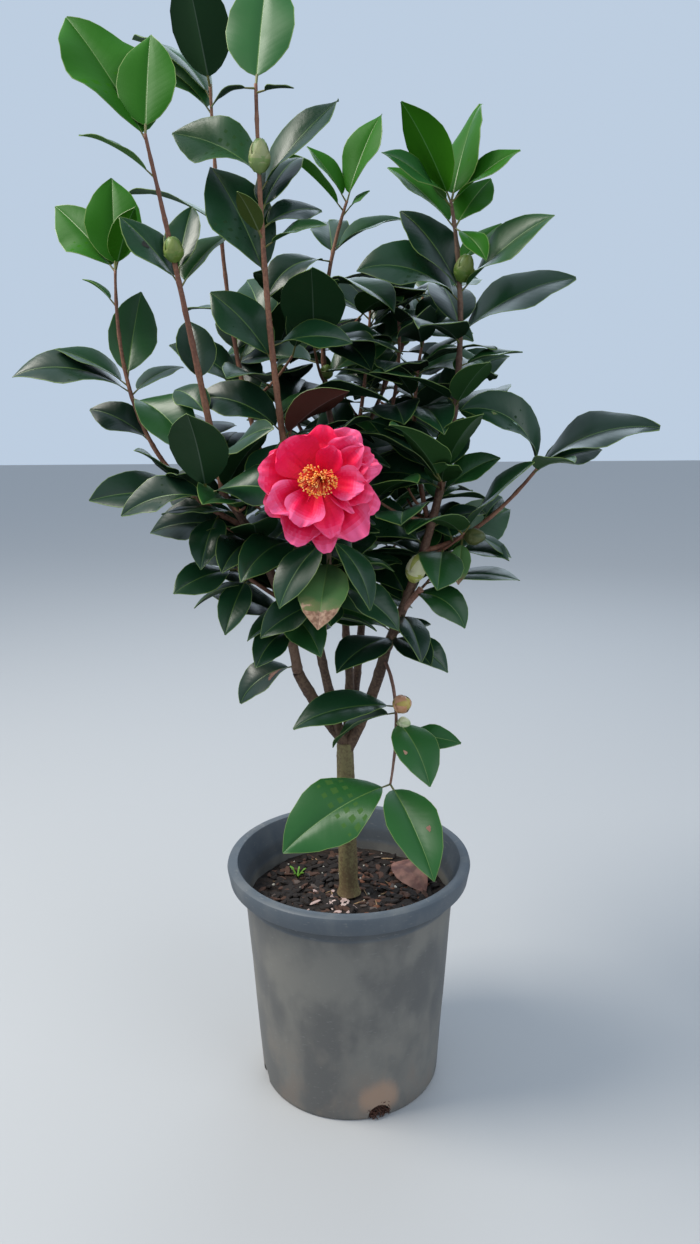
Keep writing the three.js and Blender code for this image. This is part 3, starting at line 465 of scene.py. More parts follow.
class Draws:
    """Seeded draws, so that the plant always grows the same way."""

    def __init__(self, seed):
        self.state = seed

    def between(self, low, high):
        self.state = self.state * 16807 % 2147483647
        return low + (high - low) * self.state / 2147483647


def direction(azimuth, rise):
    a, r = radians(azimuth), radians(rise)
    return Vector((math.cos(r) * math.cos(a), math.cos(r) * math.sin(a), math.sin(r)))


def loft(rings, tip=None):
    """Points and triangles of a closed surface through rings, ended by caps or by a tip."""
    sides = len(rings[0])
    points = [point for ring in rings for point in ring]
    faces = []
    for k in range(len(rings) - 1):
        for i in range(sides):
            a, b = k * sides + i, k * sides + (i + 1) % sides
            if i < sides / 2:
                faces += [(a, b, b + sides), (a, b + sides, a + sides)]
            else:
                faces += [(a, b, a + sides), (b, b + sides, a + sides)]
    faces += [(0, i + 1, i) for i in range(1, sides - 1)]
    last = (len(rings) - 1) * sides
    if tip is None:
        faces += [(last, last + i, last + i + 1) for i in range(1, sides - 1)]
    else:
        faces += [(last + i, last + (i + 1) % sides, len(points)) for i in range(sides)]
        points.append(tip)
    return points, faces


def circle(centre, heading, radius, sides):
    side = heading.cross(Vector((0, 1, 0))).normalized()
    up = heading.cross(side).normalized()
    angles = [i * 2 * math.pi / sides for i in range(sides)]
    return [centre + (side * math.cos(a) + up * math.sin(a)) * radius for a in angles]


class Limb:
    """Tapering limb that bends from its foot, through a point, to its tip."""

    def __init__(self, foot, via, tip, radii, facing=None):
        self.foot, self.tip = Vector(foot), Vector(tip)
        self.pull = Vector(via) * 2 - (self.foot + self.tip) / 2
        self.radii = radii
        self.facing = facing

    def axis(self, t):
        return self.foot * (1 - t) ** 2 + self.pull * (2 * t * (1 - t)) + self.tip * t * t

    def heading(self, t):
        return ((self.pull - self.foot) * (1 - t) + (self.tip - self.pull) * t).normalized()

    def radius(self, t):
        return self.radii[0] + (self.radii[1] - self.radii[0]) * t

    def length(self):
        places = [self.axis(k / 8) for k in range(9)]
        return sum((b - a).length for a, b in zip(places, places[1:]))

    def guard(self, sides, steps, start=0, end=1):
        rings = []
        for k in range(steps + 1):
            t = start + (end - start) * k / steps
            heading = self.facing if k == 0 and self.facing else self.heading(t)
            centre = self.axis(t) + heading * (LIMB_CLEARANCE if t == 1 else 0)
            rings.append(circle(centre, heading, self.radius(t) + LIMB_CLEARANCE, sides))
        return loft(rings)


class Blade:
    """Leaf blade on a stalk: its rib leaves at the rise and arches over, its halves fold up."""

    def __init__(self, foot, azimuth, shape, outline, kind):
        self.outline, self.kind, self.foot, self.row = outline, kind, foot, None
        self.rise, self.arch = radians(shape["rise"]), radians(shape["arch"])
        self.roll, self.length = radians(shape["roll"]), shape["length"]
        self.half = self.length * shape["width"] / 2
        self.out, self.across = direction(azimuth, 0), direction(azimuth + 90, 0)
        self.thick = max(LEAST_THICK, self.length * THICK_SHARE)

    def heading(self, t):
        angle = self.rise - self.arch * t
        return self.out * math.cos(angle) + UP * math.sin(angle)

    def rib(self, t):
        end = self.rise - self.arch * t
        outward = (math.sin(self.rise) - math.sin(end)) / self.arch * self.length
        upward = (math.cos(end) - math.cos(self.rise)) / self.arch * self.length
        return self.foot + self.heading(0) * STALK + self.out * outward + UP * upward

    def axes(self, t):
        """Sideways and upper direction of the blade at a place along its rib."""
        ahead = self.heading(t)
        turn = self.roll * min(1, 2 * t)
        side = self.across * math.cos(turn) + ahead.cross(self.across) * math.sin(turn)
        return side, ahead.cross(side)

    def section(self, centre, t, half, thick, fold):
        side, top = self.axes(t)
        reach = side * math.cos(radians(fold)) * half
        lift = top * math.sin(radians(fold)) * half
        return [centre + reach + lift, centre + top * thick, centre - reach + lift, centre - top * thick]

    def neck(self):
        t, share = self.outline[0]
        way = STALK / (STALK + t * self.length)
        half = STALK_HALF + (self.half * share - STALK_HALF) * way + LEAF_CLEARANCE
        return self.section(self.foot.lerp(self.rib(t), way), 0, half, STALK_HALF + LEAF_CLEARANCE, FOLD)

    def guard(self):
        spare = LEAF_CLEARANCE
        rings = [
            self.section(self.rib(t), t, self.half * share + spare, self.thick + spare, FOLD)
            for t, share in self.outline
        ]
        return loft([self.neck(), *rings], self.rib(1) + self.heading(1) * spare)

    def stalk_guard(self):
        half = STALK_HALF + LEAF_CLEARANCE
        return loft([self.section(self.foot, 0, half, half, 0), self.neck()])


def turned(centre, facing, outline, sides, tip_height):
    rings = [circle(centre + facing * h, facing, radius, sides) for h, radius in outline]
    return loft(rings, centre + facing * tip_height)


class Crown:
    """The growing crown. A root may sink into its own mass, and clears only the other masses."""

    def __init__(self):
        self.grown = []
        self.limbs = {}
        self.twigs = []
        self.leaves = []
        self.rooms = {}

    def box_of(self, points):
        return [f(p[i] for p in points) for f in (min, max) for i in range(3)]

    def remember(self, shape, mass, is_root=False):
        tree = BVHTree.FromPolygons(*shape, all_triangles=True)
        self.grown.append((tree, self.box_of(shape[0]), mass, is_root))

    def close_rooms(self):
        """From now on, nothing grows beyond the reach that its mass has."""
        for _, box, mass, _ in self.grown:
            room = self.rooms.setdefault(mass, box)
            self.rooms[mass] = [*map(min, room[:3], box[:3]), *map(max, room[3:], box[3:])]

    def is_outside(self, box, mass):
        room = self.rooms.get(mass, box)
        return any(box[i] < room[i] or box[i + 3] > room[i + 3] for i in range(3))

    def is_blocked(self, shape, mass, is_root=False):
        tree = None
        low_x, low_y, low_z, high_x, high_y, high_z = box_here = self.box_of(shape[0])
        if self.is_outside(box_here, mass):
            return True
        for other, box, other_mass, other_root in self.grown:
            if other_mass == mass and (is_root or other_root):
                continue
            if low_x > box[3] or low_y > box[4] or low_z > box[5]:
                continue
            if high_x < box[0] or high_y < box[1] or high_z < box[2]:
                continue
            tree = tree or BVHTree.FromPolygons(*shape, all_triangles=True)
            if tree.overlap(other):
                return True
        return False

    def add_limb(self, name, parent_name, row):
        parent = self.limbs[parent_name]
        meets = row["at"] == 1 and parent_name not in SHOOTS
        facing = parent.heading(1) if meets else None
        foot = parent.axis(1) + facing * GAP if meets else parent.axis(min(row["at"], 0.98))
        self.limbs[name] = Limb(foot, row["via"], row["to"], row["radii"], facing)

    def add_leaf(self, mass, limb, at, azimuth, shape, outline, kind=OLD, row=None):
        """Turns a leaf about its stalk until it is clear, or leaves it out."""
        foot = limb.axis(min(at, 0.995))
        for turn in TURNS:
            blade = Blade(foot, azimuth + turn, shape, outline, kind)
            guard, stalk = blade.guard(), blade.stalk_guard()
            if not self.is_blocked(guard, mass) and not self.is_blocked(stalk, mass, True):
                self.remember(guard, mass)
                self.remember(stalk, mass, True)
                blade.mass, blade.row = mass, row
                self.leaves.append(blade)
                return

    def grow_twig(self, mass, parent, at, azimuth, rise, length, draws, handed):
        foot, way = parent.axis(at), direction(azimuth, rise)
        via = foot + way * length * 0.5 - UP * length * 0.05
        twig = Limb(foot, via, foot + way * length + UP * length * 0.12, TWIG_RADII)
        guard, root = twig.guard(6, 2, 0.2), twig.guard(6, 1, 0, 0.2)
        if self.is_blocked(guard, mass) or self.is_blocked(root, mass, True):
            return
        self.remember(guard, mass)
        self.remember(root, mass, True)
        self.twigs.append((mass, twig))
        for spot in TWIG_LEAVES:
            facing = azimuth + spot["turn"] * handed
            shape = {
                "length": TWIG_LEAF * draws.between(*LENGTHS),
                "rise": spot["rise"] + draws.between(*TWIG_LEAF_RISES),
                "roll": draws.between(*TWIG_LEAF_ROLLS) + INNER_FRONT_ROLL * math.cos(radians(facing)),
                "arch": OLD["arch"] * draws.between(*ARCHES),
                "width": OLD["width"] * draws.between(*WIDTHS),
            }
            self.add_leaf(mass, twig, spot["at"], facing, shape, INNER_BLADE)


def mass_of(name):
    return SHOOTS[name]["mass"] if name in SHOOTS else name


def bud_outline(length, width, spare):
    body = [(BUD_STALK + length * share, width / 2 * fat + spare) for share, fat in BUD_OUTLINE]
    return [(0, 1.5), *body]


def grow_limbs(crown):
    foot = (0, 0, SOIL_TOP + GAP)
    crown.limbs["trunk"] = Limb(foot, TRUNK["via"], TRUNK["to"], TRUNK["radii"])
    for name, row in BOUGHS.items():
        crown.add_limb(name, "trunk", row)
    for name, row in SHOOTS.items():
        crown.add_limb(name, row["from"], row)
    for name, limb in crown.limbs.items():
        crown.remember(limb.guard(5, 6, ROOT_SHARE), mass_of(name))
        crown.remember(limb.guard(5, 1, 0, ROOT_SHARE), mass_of(name), True)


def guard_bloom_and_buds(crown):
    """Shell that keeps leaves out of the bloom, and one round each bud."""
    radius, depth, setback = (BLOOM_REACH[key] for key in ("radius", "depth", "setback"))
    outline = []
    for angle in (-80, -40, 0, 40):
        height = depth * math.sin(radians(angle)) - setback
        outline.append((height, radius * math.cos(radians(angle))))
    facing = Vector(BLOOM_FACING).normalized()
    crown.remember(turned(Vector(BLOOM_CENTRE), facing, outline, 10, depth - setback), "bloom")
    for shoot, at, azimuth, rise, length, width in BUDS:
        outline = bud_outline(length, width, LIMB_CLEARANCE)
        tip = BUD_STALK + length + LIMB_CLEARANCE
        facing = direction(azimuth, rise)
        crown.remember(turned(crown.limbs[shoot].axis(at), facing, outline, 6, tip), mass_of(shoot))


def grow_outer_leaves(crown):
    for index, (shoot, rows) in enumerate(OUTER_LEAVES.items()):
        draws = Draws(OUTER_SEED + 17 * index)
        for at, azimuth, rise, length, kind, *more in rows:
            sway = draws.between(*OUTER_ROLLS)
            width = kind["width"] * draws.between(*WIDTHS)
            arch = more[0] if more else kind["arch"]
            roll = more[1] if len(more) > 1 else sway + FRONT_ROLL * math.cos(radians(azimuth))
            shape = {"rise": rise, "length": length, "arch": arch, "width": width, "roll": roll}
            limb, mass = crown.limbs[shoot], mass_of(shoot)
            crown.add_leaf(mass, limb, at, azimuth, shape, OUTER_BLADE, kind, (shoot, at, azimuth))


def grow_twigs(crown, rows, seed):
    for index, (shoot, start, end, count, first, rise, length) in enumerate(rows):
        for i in range(count):
            draws = Draws(seed + 101 * index + 13 * i)
            at = start + (end - start) * i / (count - 1)
            azimuth = first + SPIRAL * i + draws.between(*TWIG_SPREAD)
            up = rise + draws.between(*TWIG_SPREAD)
            size = length * draws.between(*TWIG_LENGTHS)
            handed = 1 if i % 2 else -1
            crown.grow_twig(mass_of(shoot), crown.limbs[shoot], at, azimuth, up, size, draws, handed)


def grow_inner_leaves(crown, rows, seed):
    for index, (shoot, start, end, count, first, rise, length) in enumerate(rows):
        draws = Draws(seed + 31 * index)
        for i in range(count):
            at = start + (end - start) * i / (count - 1)
            azimuth = first + SPIRAL * i + draws.between(*INNER_SPREAD)
            shape = {
                "rise": rise + draws.between(*INNER_RISES),
                "length": length * draws.between(*LENGTHS),
                "arch": OLD["arch"] * draws.between(*ARCHES),
                "roll": draws.between(*INNER_ROLLS) + INNER_FRONT_ROLL * math.cos(radians(azimuth)),
                "width": OLD["width"] * draws.between(*WIDTHS),
            }
            limb, mass = crown.limbs[shoot], mass_of(shoot)
            crown.add_leaf(mass, limb, at, azimuth, shape, INNER_BLADE)


# Finer twigs and smaller leaves that fill the shaded inside: rows as for the twigs and leaves above
FINE_TWIG_ROWS = [
    ["left_stem", 0.2, 0.9, 5, 90, 10, 40],
    ["left_low", 0.4, 0.9, 2, 240, 20, 30],
    ["centre_left_stem", 0.15, 0.9, 6, 170, 15, 42],
    ["centre_stem", 0.25, 0.8, 5, 300, 15, 42],
    ["right_stem", 0.06, 0.45, 6, 60, 15, 42],
    ["right_inner", 0.1, 0.6, 3, 250, 20, 40],
    ["back_stem", 0.2, 0.9, 5, 180, 20, 44],
    ["back_left", 0.1, 0.8, 4, 20, 30, 42],
    ["back_right", 0.1, 0.8, 4, 140, 30, 42],
    ["back_low", 0.3, 0.9, 3, 200, 10, 40],
    ["bloom_stem", 0.2, 0.9, 4, 120, 10, 34],
]
FINE_LEAF_ROWS = [
    ["left_stem", 0.2, 0.95, 9, 250, 10, 66],
    ["left_low", 0.3, 1, 4, 60, 10, 60],
    ["centre_left_stem", 0.12, 0.95, 12, 20, 5, 68],
    ["centre_left_back", 0.06, 0.4, 5, 120, 25, 64],
    ["centre_stem", 0.2, 0.75, 9, 200, 5, 68],
    ["centre_dark", 0.2, 0.9, 6, 0, 30, 64],
    ["centre_right", 0.2, 0.9, 6, 300, 30, 64],
    ["right_stem", 0.04, 0.5, 12, 150, 5, 68],
    ["right_inner", 0.1, 0.8, 6, 20, 25, 66],
    ["right_far", 0.05, 0.4, 4, 200, 10, 50],
    ["back_stem", 0.15, 0.95, 12, 0, 10, 70],
    ["back_left", 0.1, 0.95, 9, 60, 25, 68],
    ["back_right", 0.1, 0.95, 9, 200, 25, 68],
    ["back_low", 0.2, 0.95, 7, 100, 5, 66],
    ["bloom_stem", 0.15, 0.9, 8, 100, 0, 56],
]


class Piece:
    """Points and faces of one joined piece in millimetres, each face with its look."""

    def __init__(self, name, slot, replaces=()):
        self.name, self.slot, self.replaces = name, slot, replaces
        self.points, self.faces, self.looks, self.smooth = [], [], [], []
        self.places = []
        self.count = 0
        self.materials = []

    def index_of(self, look):
        if look.material not in self.materials:
            self.materials.append(look.material)
        return self.materials.index(look.material)

    def add(self, points, faces, looks, places=None):
        """Looks is one look for every face, or a list with one for each."""
        points = np.asarray(points, float).reshape(-1, 3)
        self.faces += [tuple(int(i) + self.count for i in face) for face in faces]
        if not isinstance(looks, list):
            looks = [looks] * len(faces)
        self.looks += [self.index_of(look) for look in looks]
        self.points.append(points)
        self.places.append(np.zeros((len(points), 2)) if places is None else places)
        self.count += len(points)

    def build(self, smooth=True):
        mesh = bpy.data.meshes.new(self.name)
        points = np.concatenate(self.points) / 1000
        mesh.from_pydata(points.tolist(), [], self.faces)
        mesh.polygons.foreach_set("material_index", self.looks)
        mesh.polygons.foreach_set("use_smooth", [smooth] * len(self.faces))
        for material in self.materials:
            mesh.materials.append(material)
        layer = mesh.uv_layers.new(name="place")
        corners = np.empty(len(mesh.loops), int)
        mesh.loops.foreach_get("vertex_index", corners)
        layer.data.foreach_set("uv", np.concatenate(self.places)[corners].ravel())
        mesh.validate()
        mesh.update()
        made = bpy.data.objects.new(self.name, mesh)
        bpy.context.scene.collection.objects.link(made)
        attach(made, "root")
        if self.replaces:
            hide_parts(*self.replaces)
        return made


def grid_faces(rows, columns, closed=False):
    """Quads between rows of points, each row an open line or a closed ring."""
    faces = []
    for r in range(rows - 1):
        for c in range(columns if closed else columns - 1):
            a, b = r * columns + c, r * columns + (c + 1) % columns
            faces.append((a, b, b + columns, a + columns))
    return faces


# Leaves by kind: colour of the upper and the under side, roughness, shine
LEAF_TONES = {
    "leaf_old": [(0.009, 0.044, 0.015), (0.01, 0.038, 0.011), 0.34, 0.4],
    "leaf_older": [(0.007, 0.028, 0.013), (0.008, 0.027, 0.01), 0.32, 0.4],
    "leaf_mid": [(0.015, 0.07, 0.016), (0.022, 0.07, 0.016), 0.36, 0.4],
    "leaf_soft": [(0.02, 0.1, 0.02), (0.05, 0.13, 0.026), 0.4, 0.3],
    # The young leaves' light green is partly their own colour and partly painted light shining through them
    # from behind.
    "leaf_young": [(0.02, 0.115, 0.005), (0.026, 0.13, 0.005), 0.5, 0.12],
    "leaf_bronze": [(0.012, 0.032, 0.01), (0.085, 0.026, 0.018), 0.33, 0.4],
    "leaf_olive": [(0.03, 0.055, 0.008), (0.045, 0.07, 0.01), 0.4, 0.4],
    "leaf_pale": [(0.06, 0.15, 0.045), (0.09, 0.18, 0.06), 0.5, 0.4],
}
MARGIN_GREEN = (0.2, 0.3, 0.06)
RIB_GREEN = (0.14, 0.25, 0.05)
STALK_GREEN = (0.13, 0.13, 0.03)

# Dry leaf tips, from the green part to the dead one
DRYING_GREEN = (0.07, 0.16, 0.045)
FADED_GREEN = (0.14, 0.17, 0.06)
DRY_TAN = (0.42, 0.26, 0.17)
DRY_BROWN = (0.2, 0.1, 0.06)

# Side veins: how much they lean towards the tip, and their beat along the rib
VEIN_SLANT = 0.16
VEINS_ALONG = 80

# Marks on leaves: colour and roughness
MARK_TONES = {
    "dry": [(0.36, 0.2, 0.13), 0.75],
    "scar": [(0.24, 0.11, 0.075), 0.7],
    "spot_rim": [(0.12, 0.2, 0.05), 0.6],
    "spot": [(0.3, 0.42, 0.34), 0.6],
    "dark_spot": [(0.012, 0.012, 0.008), 0.7],
}

# Barks: pale and dark colour of the streaks, roughness
BARK_TONES = {
    "trunk": [(0.23, 0.19, 0.08), (0.13, 0.085, 0.04), 0.8],
    "bough": [(0.16, 0.095, 0.055), (0.07, 0.036, 0.022), 0.75],
    "stem": [(0.2, 0.115, 0.07), (0.1, 0.045, 0.028), 0.7],
    "young": [(0.27, 0.12, 0.065), (0.15, 0.055, 0.03), 0.6],
    "low": [(0.34, 0.18, 0.13), (0.19, 0.09, 0.06), 0.65],
    "stub": [(0.52, 0.28, 0.2), (0.34, 0.15, 0.1), 0.7],
}

# Single leaves with a look of their own, by shoot, place and azimuth of their row
OWN_LOOKS = {
    ("centre_left_front", 0.02, 330): "leaf_bronze",
    ("centre_left_front", 0.62, 235): "leaf_olive",
    ("bloom_stem", 0.55, 262): "leaf_pale",
    ("right_stem", 0.21, 34): "leaf_soft",
    # This leaf's lighter middle green is partly painted sunlight, which brightens its upper half.
    ("right_stem", 0.35, 0): "leaf_mid",
}

# Leaves with a dry tip: place along the blade where the green ends
DRY_TIPS = {("bloom_stem", 0.55, 262): 0.74, ("right_far", 0.36, 255): 0.92}

# Marks on single leaves: look, place across and along the blade, half sizes in millimetres
LEAF_MARKS = {
    ("left_stem", 0.03, 188): [
        ["scar", 0.3, 0.2, 5, 7], ["scar", 0.55, 0.3, 3, 4],
        ["dry", 0.42, 0.24, 2, 4],
    ],
    ("right_far", 1, 172): [
        ["spot_rim", 0.25, 0.66, 3, 3], ["dry", 0.25, 0.66, 1.6, 1.6],
        ["spot", 0.15, 0.42, 1.4, 2.6],
    ],
    ("right_far", 0.36, 255): [["scar", -0.7, 0.4, 3, 5], ["dry", -0.85, 0.45, 1.5, 3]],
    ("left_front", 0.59, 200): [["dark_spot", 0.2, 0.5, 2.5, 4]],
    ("low_stem", 1, 292): [["scar", 0.5, 0.55, 2, 3]],
    ("low_stem", 0.58, 295): [["dry", -0.6, 0.5, 1.5, 2.5]],
}
MARK_SIDES = 14

# Fine form of a leaf: places along the rib, columns across, half width of the rib, margin, thickness
LEAF_PLACES = np.array([
    0, 0.03, 0.08, 0.15, 0.23, 0.32, 0.41, 0.5,
    0.59, 0.68, 0.76, 0.83, 0.89, 0.94, 0.98, 1,
])
COLUMN_SHARES = (-1, -0.97, -0.69, -0.37, -0.04, 0, 0.04, 0.37, 0.69, 0.97, 1)
COLUMN_PARTS = ["margin", "upper", "upper", "upper", "rib"]
UNDER_PARTS = {"margin": "under", "upper": "under", "rib": "under_rib"}
RIB_HALF = 0.75
MARGIN = 0.55
BLADE_THICK = 0.5
STALK_SIDES = 6

# Where each leaf differs: fold in degrees, waves as height and number, hook of the tip
FOLD_SWAY = (-10, 8)
WAVE_HEIGHTS = (0.015, 0.065)
WAVE_BEATS = (1.2, 2.6)
TIP_HOOKS = (-0.01, 0.035)
HOOK_FROM = 0.68


def leaf_width(t):
    """Share of the half width at places along the rib: oval, with a short drawn-out tip."""
    oval = np.sin(np.pi * np.clip(t, 0, 1) ** 0.86) ** 0.72 * (1 - 0.12 * t) / 0.95
    return oval * (1 - 0.3 * np.clip((t - 0.8) / 0.2, 0, 1) ** 1.5)


def rowwise(vectors):
    return np.array([tuple(v) for v in vectors])


def leaf_surface(blade, draws):
    """Points of the blade's upper side, row by row, with the upward direction and flat places."""
    t = LEAF_PLACES
    ribs = rowwise(blade.rib(x) for x in t)
    axes = [blade.axes(x) for x in t]
    sides, tops = rowwise(a[0] for a in axes), rowwise(a[1] for a in axes)
    half = np.maximum(blade.half * leaf_width(t), STALK_HALF * 0.9)
    rib_share = np.minimum(RIB_HALF * (1 - 0.7 * t) / half, 0.4)
    margin_share = 1 - np.minimum(MARGIN / half, 0.3)
    middle = [rib_share + (margin_share - rib_share) * x for x in (0.35, 0.7)]
    columns = [rib_share, *middle, margin_share, np.ones_like(t)]
    shares = np.stack([-c for c in columns[::-1]] + [np.zeros_like(t)] + columns, 1)
    teeth = 1 + 0.012 * (-1.0) ** np.arange(len(t))
    fold = radians(FOLD + draws.between(*FOLD_SWAY))
    wave, beat, phase = draws.between(*WAVE_HEIGHTS), draws.between(*WAVE_BEATS), draws.between(0, 6)
    hook = blade.length * draws.between(*TIP_HOOKS)
    reach = shares * (half * teeth)[:, None]
    size = np.abs(shares)
    lift = half[:, None] * (math.sin(fold) * size - 0.1 * size**3)
    ripple = np.sin(2 * math.pi * beat * t[:, None] + phase + 1.7 * np.sign(shares))
    lift += blade.half * wave * ripple * size**2 * np.minimum(1, 4 * t)[:, None]
    lift[:, shares.shape[1] // 2] -= 0.25
    lift -= hook * np.clip((t - HOOK_FROM) / (1 - HOOK_FROM), 0, 1)[:, None] ** 2
    points = ribs[:, None] + sides[:, None] * (reach * math.cos(fold))[..., None]
    points += tops[:, None] * lift[..., None]
    places = np.stack([shares, np.broadcast_to(t[:, None], shares.shape)], 2)
    return points, tops, places


def add_leaf_to(piece, blade, looks, draws):
    """Upper side, under side and edge of one leaf, each with its own look, its stalk and its marks."""
    points, tops, places = leaf_surface(blade, draws)
    rows, columns = points.shape[:2]
    faces = grid_faces(rows, columns)
    upper, under = blade_looks(blade, looks, len(faces))
    flat_places = places.reshape(-1, 2)
    piece.add(points, faces, upper, flat_places)
    under_points = points - tops[:, None] * BLADE_THICK
    piece.add(under_points, [face[::-1] for face in faces], under, flat_places)
    border = border_of(rows, columns)
    ring = len(border)
    both = np.concatenate([points.reshape(-1, 3)[border], under_points.reshape(-1, 3)[border]])
    edge = [(k, ring + k, ring + (k + 1) % ring, (k + 1) % ring) for k in range(ring)]
    piece.add(both, edge, looks["margin"])
    add_stalk(piece, blade, looks["stalk"])
    for mark in LEAF_MARKS.get(blade.row, ()):
        add_mark(piece, points, tops, blade, looks, mark)


def blade_looks(blade, looks, count):
    """Looks of the upper and the under faces, from margin to rib and back, row by row."""
    dry_from = DRY_TIPS.get(blade.row)
    if dry_from:
        skins = {"upper": drying("leaf_drying", dry_from), "under": drying("leaf_drying_under", dry_from)}
        looks = {**looks, **skins}
    row_parts = COLUMN_PARTS + COLUMN_PARTS[::-1]
    upper, under = [], []
    for k in range(count):
        row, column = divmod(k, len(row_parts))
        part = row_parts[column]
        is_dry = dry_from and LEAF_PLACES[row] > dry_from and part != "upper"
        upper.append(looks["dry" if is_dry else part])
        under.append(looks["dry" if is_dry else UNDER_PARTS[part]])
    return upper, under


def border_of(rows, columns):
    """Indices of the points round the edge of a grid, in order."""
    border = [r * columns for r in range(rows)]
    border += [(rows - 1) * columns + c for c in range(1, columns)]
    border += [r * columns + columns - 1 for r in range(rows - 2, -1, -1)]
    return border + list(range(columns - 2, 0, -1))


def add_mark(piece, points, tops, blade, looks, mark):
    """Thin uneven patch that lies on both sides of the blade."""
    look, across, along, half_across, half_along = mark
    rings = [np.zeros((1, 2))]
    for ring in (0.5, 1):
        turn = np.linspace(0, 2 * math.pi, MARK_SIDES, endpoint=False)
        rough = ring * (1 + 0.22 * np.sin(3 * turn + along * 40) + 0.12 * np.sin(7 * turn + across * 30))
        rings.append(np.stack([np.cos(turn) * rough, np.sin(turn) * rough], 1))
    flat = np.concatenate(rings)
    wide = across + flat[:, 0] * half_across / (blade.half * 0.9)
    long = along + flat[:, 1] * half_along / blade.length
    columns_at = np.interp(wide, COLUMN_SHARES, np.arange(points.shape[1]))
    rows_at = np.interp(long, LEAF_PLACES, np.arange(points.shape[0]))
    upward = np.broadcast_to(tops[:, None], points.shape)
    on_blade = np.array([between_rows(points, r, c) for r, c in zip(rows_at, columns_at)])
    lift = np.array([between_rows(upward, r, c) for r, c in zip(rows_at, columns_at)])
    inner, outer = 1, 1 + MARK_SIDES
    fan = []
    for k in range(MARK_SIDES):
        after = (k + 1) % MARK_SIDES
        fan += [(0, inner + k, inner + after), (inner + k, outer + k, outer + after, inner + after)]
    piece.add(on_blade + lift * 0.2, fan, looks[look])
    piece.add(on_blade - lift * 0.7, [face[::-1] for face in fan], looks[look])


def between_rows(grid, row, column):
    """Value at a place between the rows and columns of a grid of points."""
    r, c = min(int(row), grid.shape[0] - 2), min(int(column), grid.shape[1] - 2)
    u, v = row - r, column - c
    first = grid[r, c] * (1 - v) + grid[r, c + 1] * v
    second = grid[r + 1, c] * (1 - v) + grid[r + 1, c + 1] * v
    return first * (1 - u) + second * u


def add_stalk(piece, blade, look):
    side, top = blade.axes(0)
    start, end = blade.foot, blade.rib(0.015)
    rings = []
    for share in (0, 0.5, 1):
        centre = start.lerp(end, share) - top * 0.25
        wide, high = 1.15 + 0.1 * share, 0.95 - 0.35 * share
        angles = [2 * math.pi * i / STALK_SIDES for i in range(STALK_SIDES)]
        rings.append([centre + side * math.cos(a) * wide + top * math.sin(a) * high for a in angles])
    piece.add([p for ring in rings for p in ring], grid_faces(len(rings), STALK_SIDES, True), look)


# Wood by kind: sides of its tube, relief and grain of its bark
TUBES = {
    "trunk": (28, 0.9, 0.12),
    "bough": (18, 0.45, 0.2),
    "shoot": (10, 0.25, 0.25),
    "twig": (7, 0.1, 0.3),
    "stub": (12, 0.5, 0.35),
}
TRUNK_STEPS = 90
BOUGH_STEPS = 40
SHOOT_STEP = 4
TWIG_STEPS = 12
STUB_STEPS = 14

# Swellings where leaves once sat: how far apart, and how high, for shoots as a share of the radius
BOUGH_SWELLING = (30, 0.5)
SHOOT_SWELLING = (26, 0.12)
TWIG_SWELLING = (18, 0.35)


def add_tube(piece, limb, kind, look, steps, bulge):
    """Skin round a limb, swollen by the bulge and roughened by a fixed noise, with a closed end."""
    sides, relief, grain = TUBES[kind]
    points = []
    for k in range(steps + 1):
        t = k / steps
        ring = circle(limb.axis(t), limb.heading(t), limb.radius(t) + bulge(t), sides)
        centre = sum(ring, Vector()) / sides
        for point in ring:
            out = (point - centre).normalized()
            rough = noise.noise(Vector((point.x * grain, point.y * grain, point.z * grain * 0.25)))
            fine = noise.noise(point * grain * 3)
            points.append(point + out * relief * (rough + 0.5 * fine))
    faces = grid_faces(steps + 1, sides, True)
    last = steps * sides
    faces += [(last + i, last + (i + 1) % sides, len(points)) for i in range(sides)]
    points.append(centre)
    piece.add(points, faces, look)


def node_swelling(limb, spacing, height):
    """Swelling rings where leaves once sat, a steady distance apart."""
    count = max(1, round(limb.length() / spacing))
    return lambda t: height * math.exp(-(((t * count + 0.35) % 1 - 0.5) / 0.09) ** 2)


def make_looks():
    """One look for each bark, and for each kind of leaf a set of looks by part."""
    looks = {name: barked(f"{name}_bark", *tones) for name, tones in BARK_TONES.items()}
    looks["cut"] = Look("cut_wood", (0.55, 0.38, 0.27), 0.8)
    marks = {name: Look(f"leaf_{name}", *tones) for name, tones in MARK_TONES.items()}
    for name, (upper, under, roughness, shine) in LEAF_TONES.items():
        looks[name] = {
            "upper": veined(f"{name}_upper", upper, roughness, shine),
            "margin": Look(f"{name}_margin", blend(upper, MARGIN_GREEN, 0.65), 0.45),
            "rib": Look(f"{name}_rib", blend(upper, RIB_GREEN, 0.55), 0.4),
            "under": veined(f"{name}_under", under, 0.62, shine * 0.4),
            "under_rib": Look(f"{name}_under_rib", [1.35 * c + 0.03 for c in under], 0.6),
            "stalk": Look(f"{name}_stalk", STALK_GREEN, 0.5),
            **marks,
        }
    return looks


def blend(first, second, share):
    return [(1 - share) * a + share * b for a, b in zip(first, second)]


def veined(name, colour, roughness, shine):
    """Leaf skin with side veins that rise a little from the rib to the margin."""
    look = Look(name, colour, roughness, specular_ior_level=shine)
    across, along = look.place_on_blade(0), look.place_on_blade(1)
    vein = ((along - across.size() * VEIN_SLANT) * VEINS_ALONG).sine().over(-0.2, 1)
    grain = look.noise(900, 2)
    look.bump(vein * 0.3 + grain * 0.15, 0.16, 0.0005)
    patch = look.noise(25, 2)
    look.set("Roughness", patch.over(0.3, 0.75) * 0.14 + (roughness - 0.05))
    return look


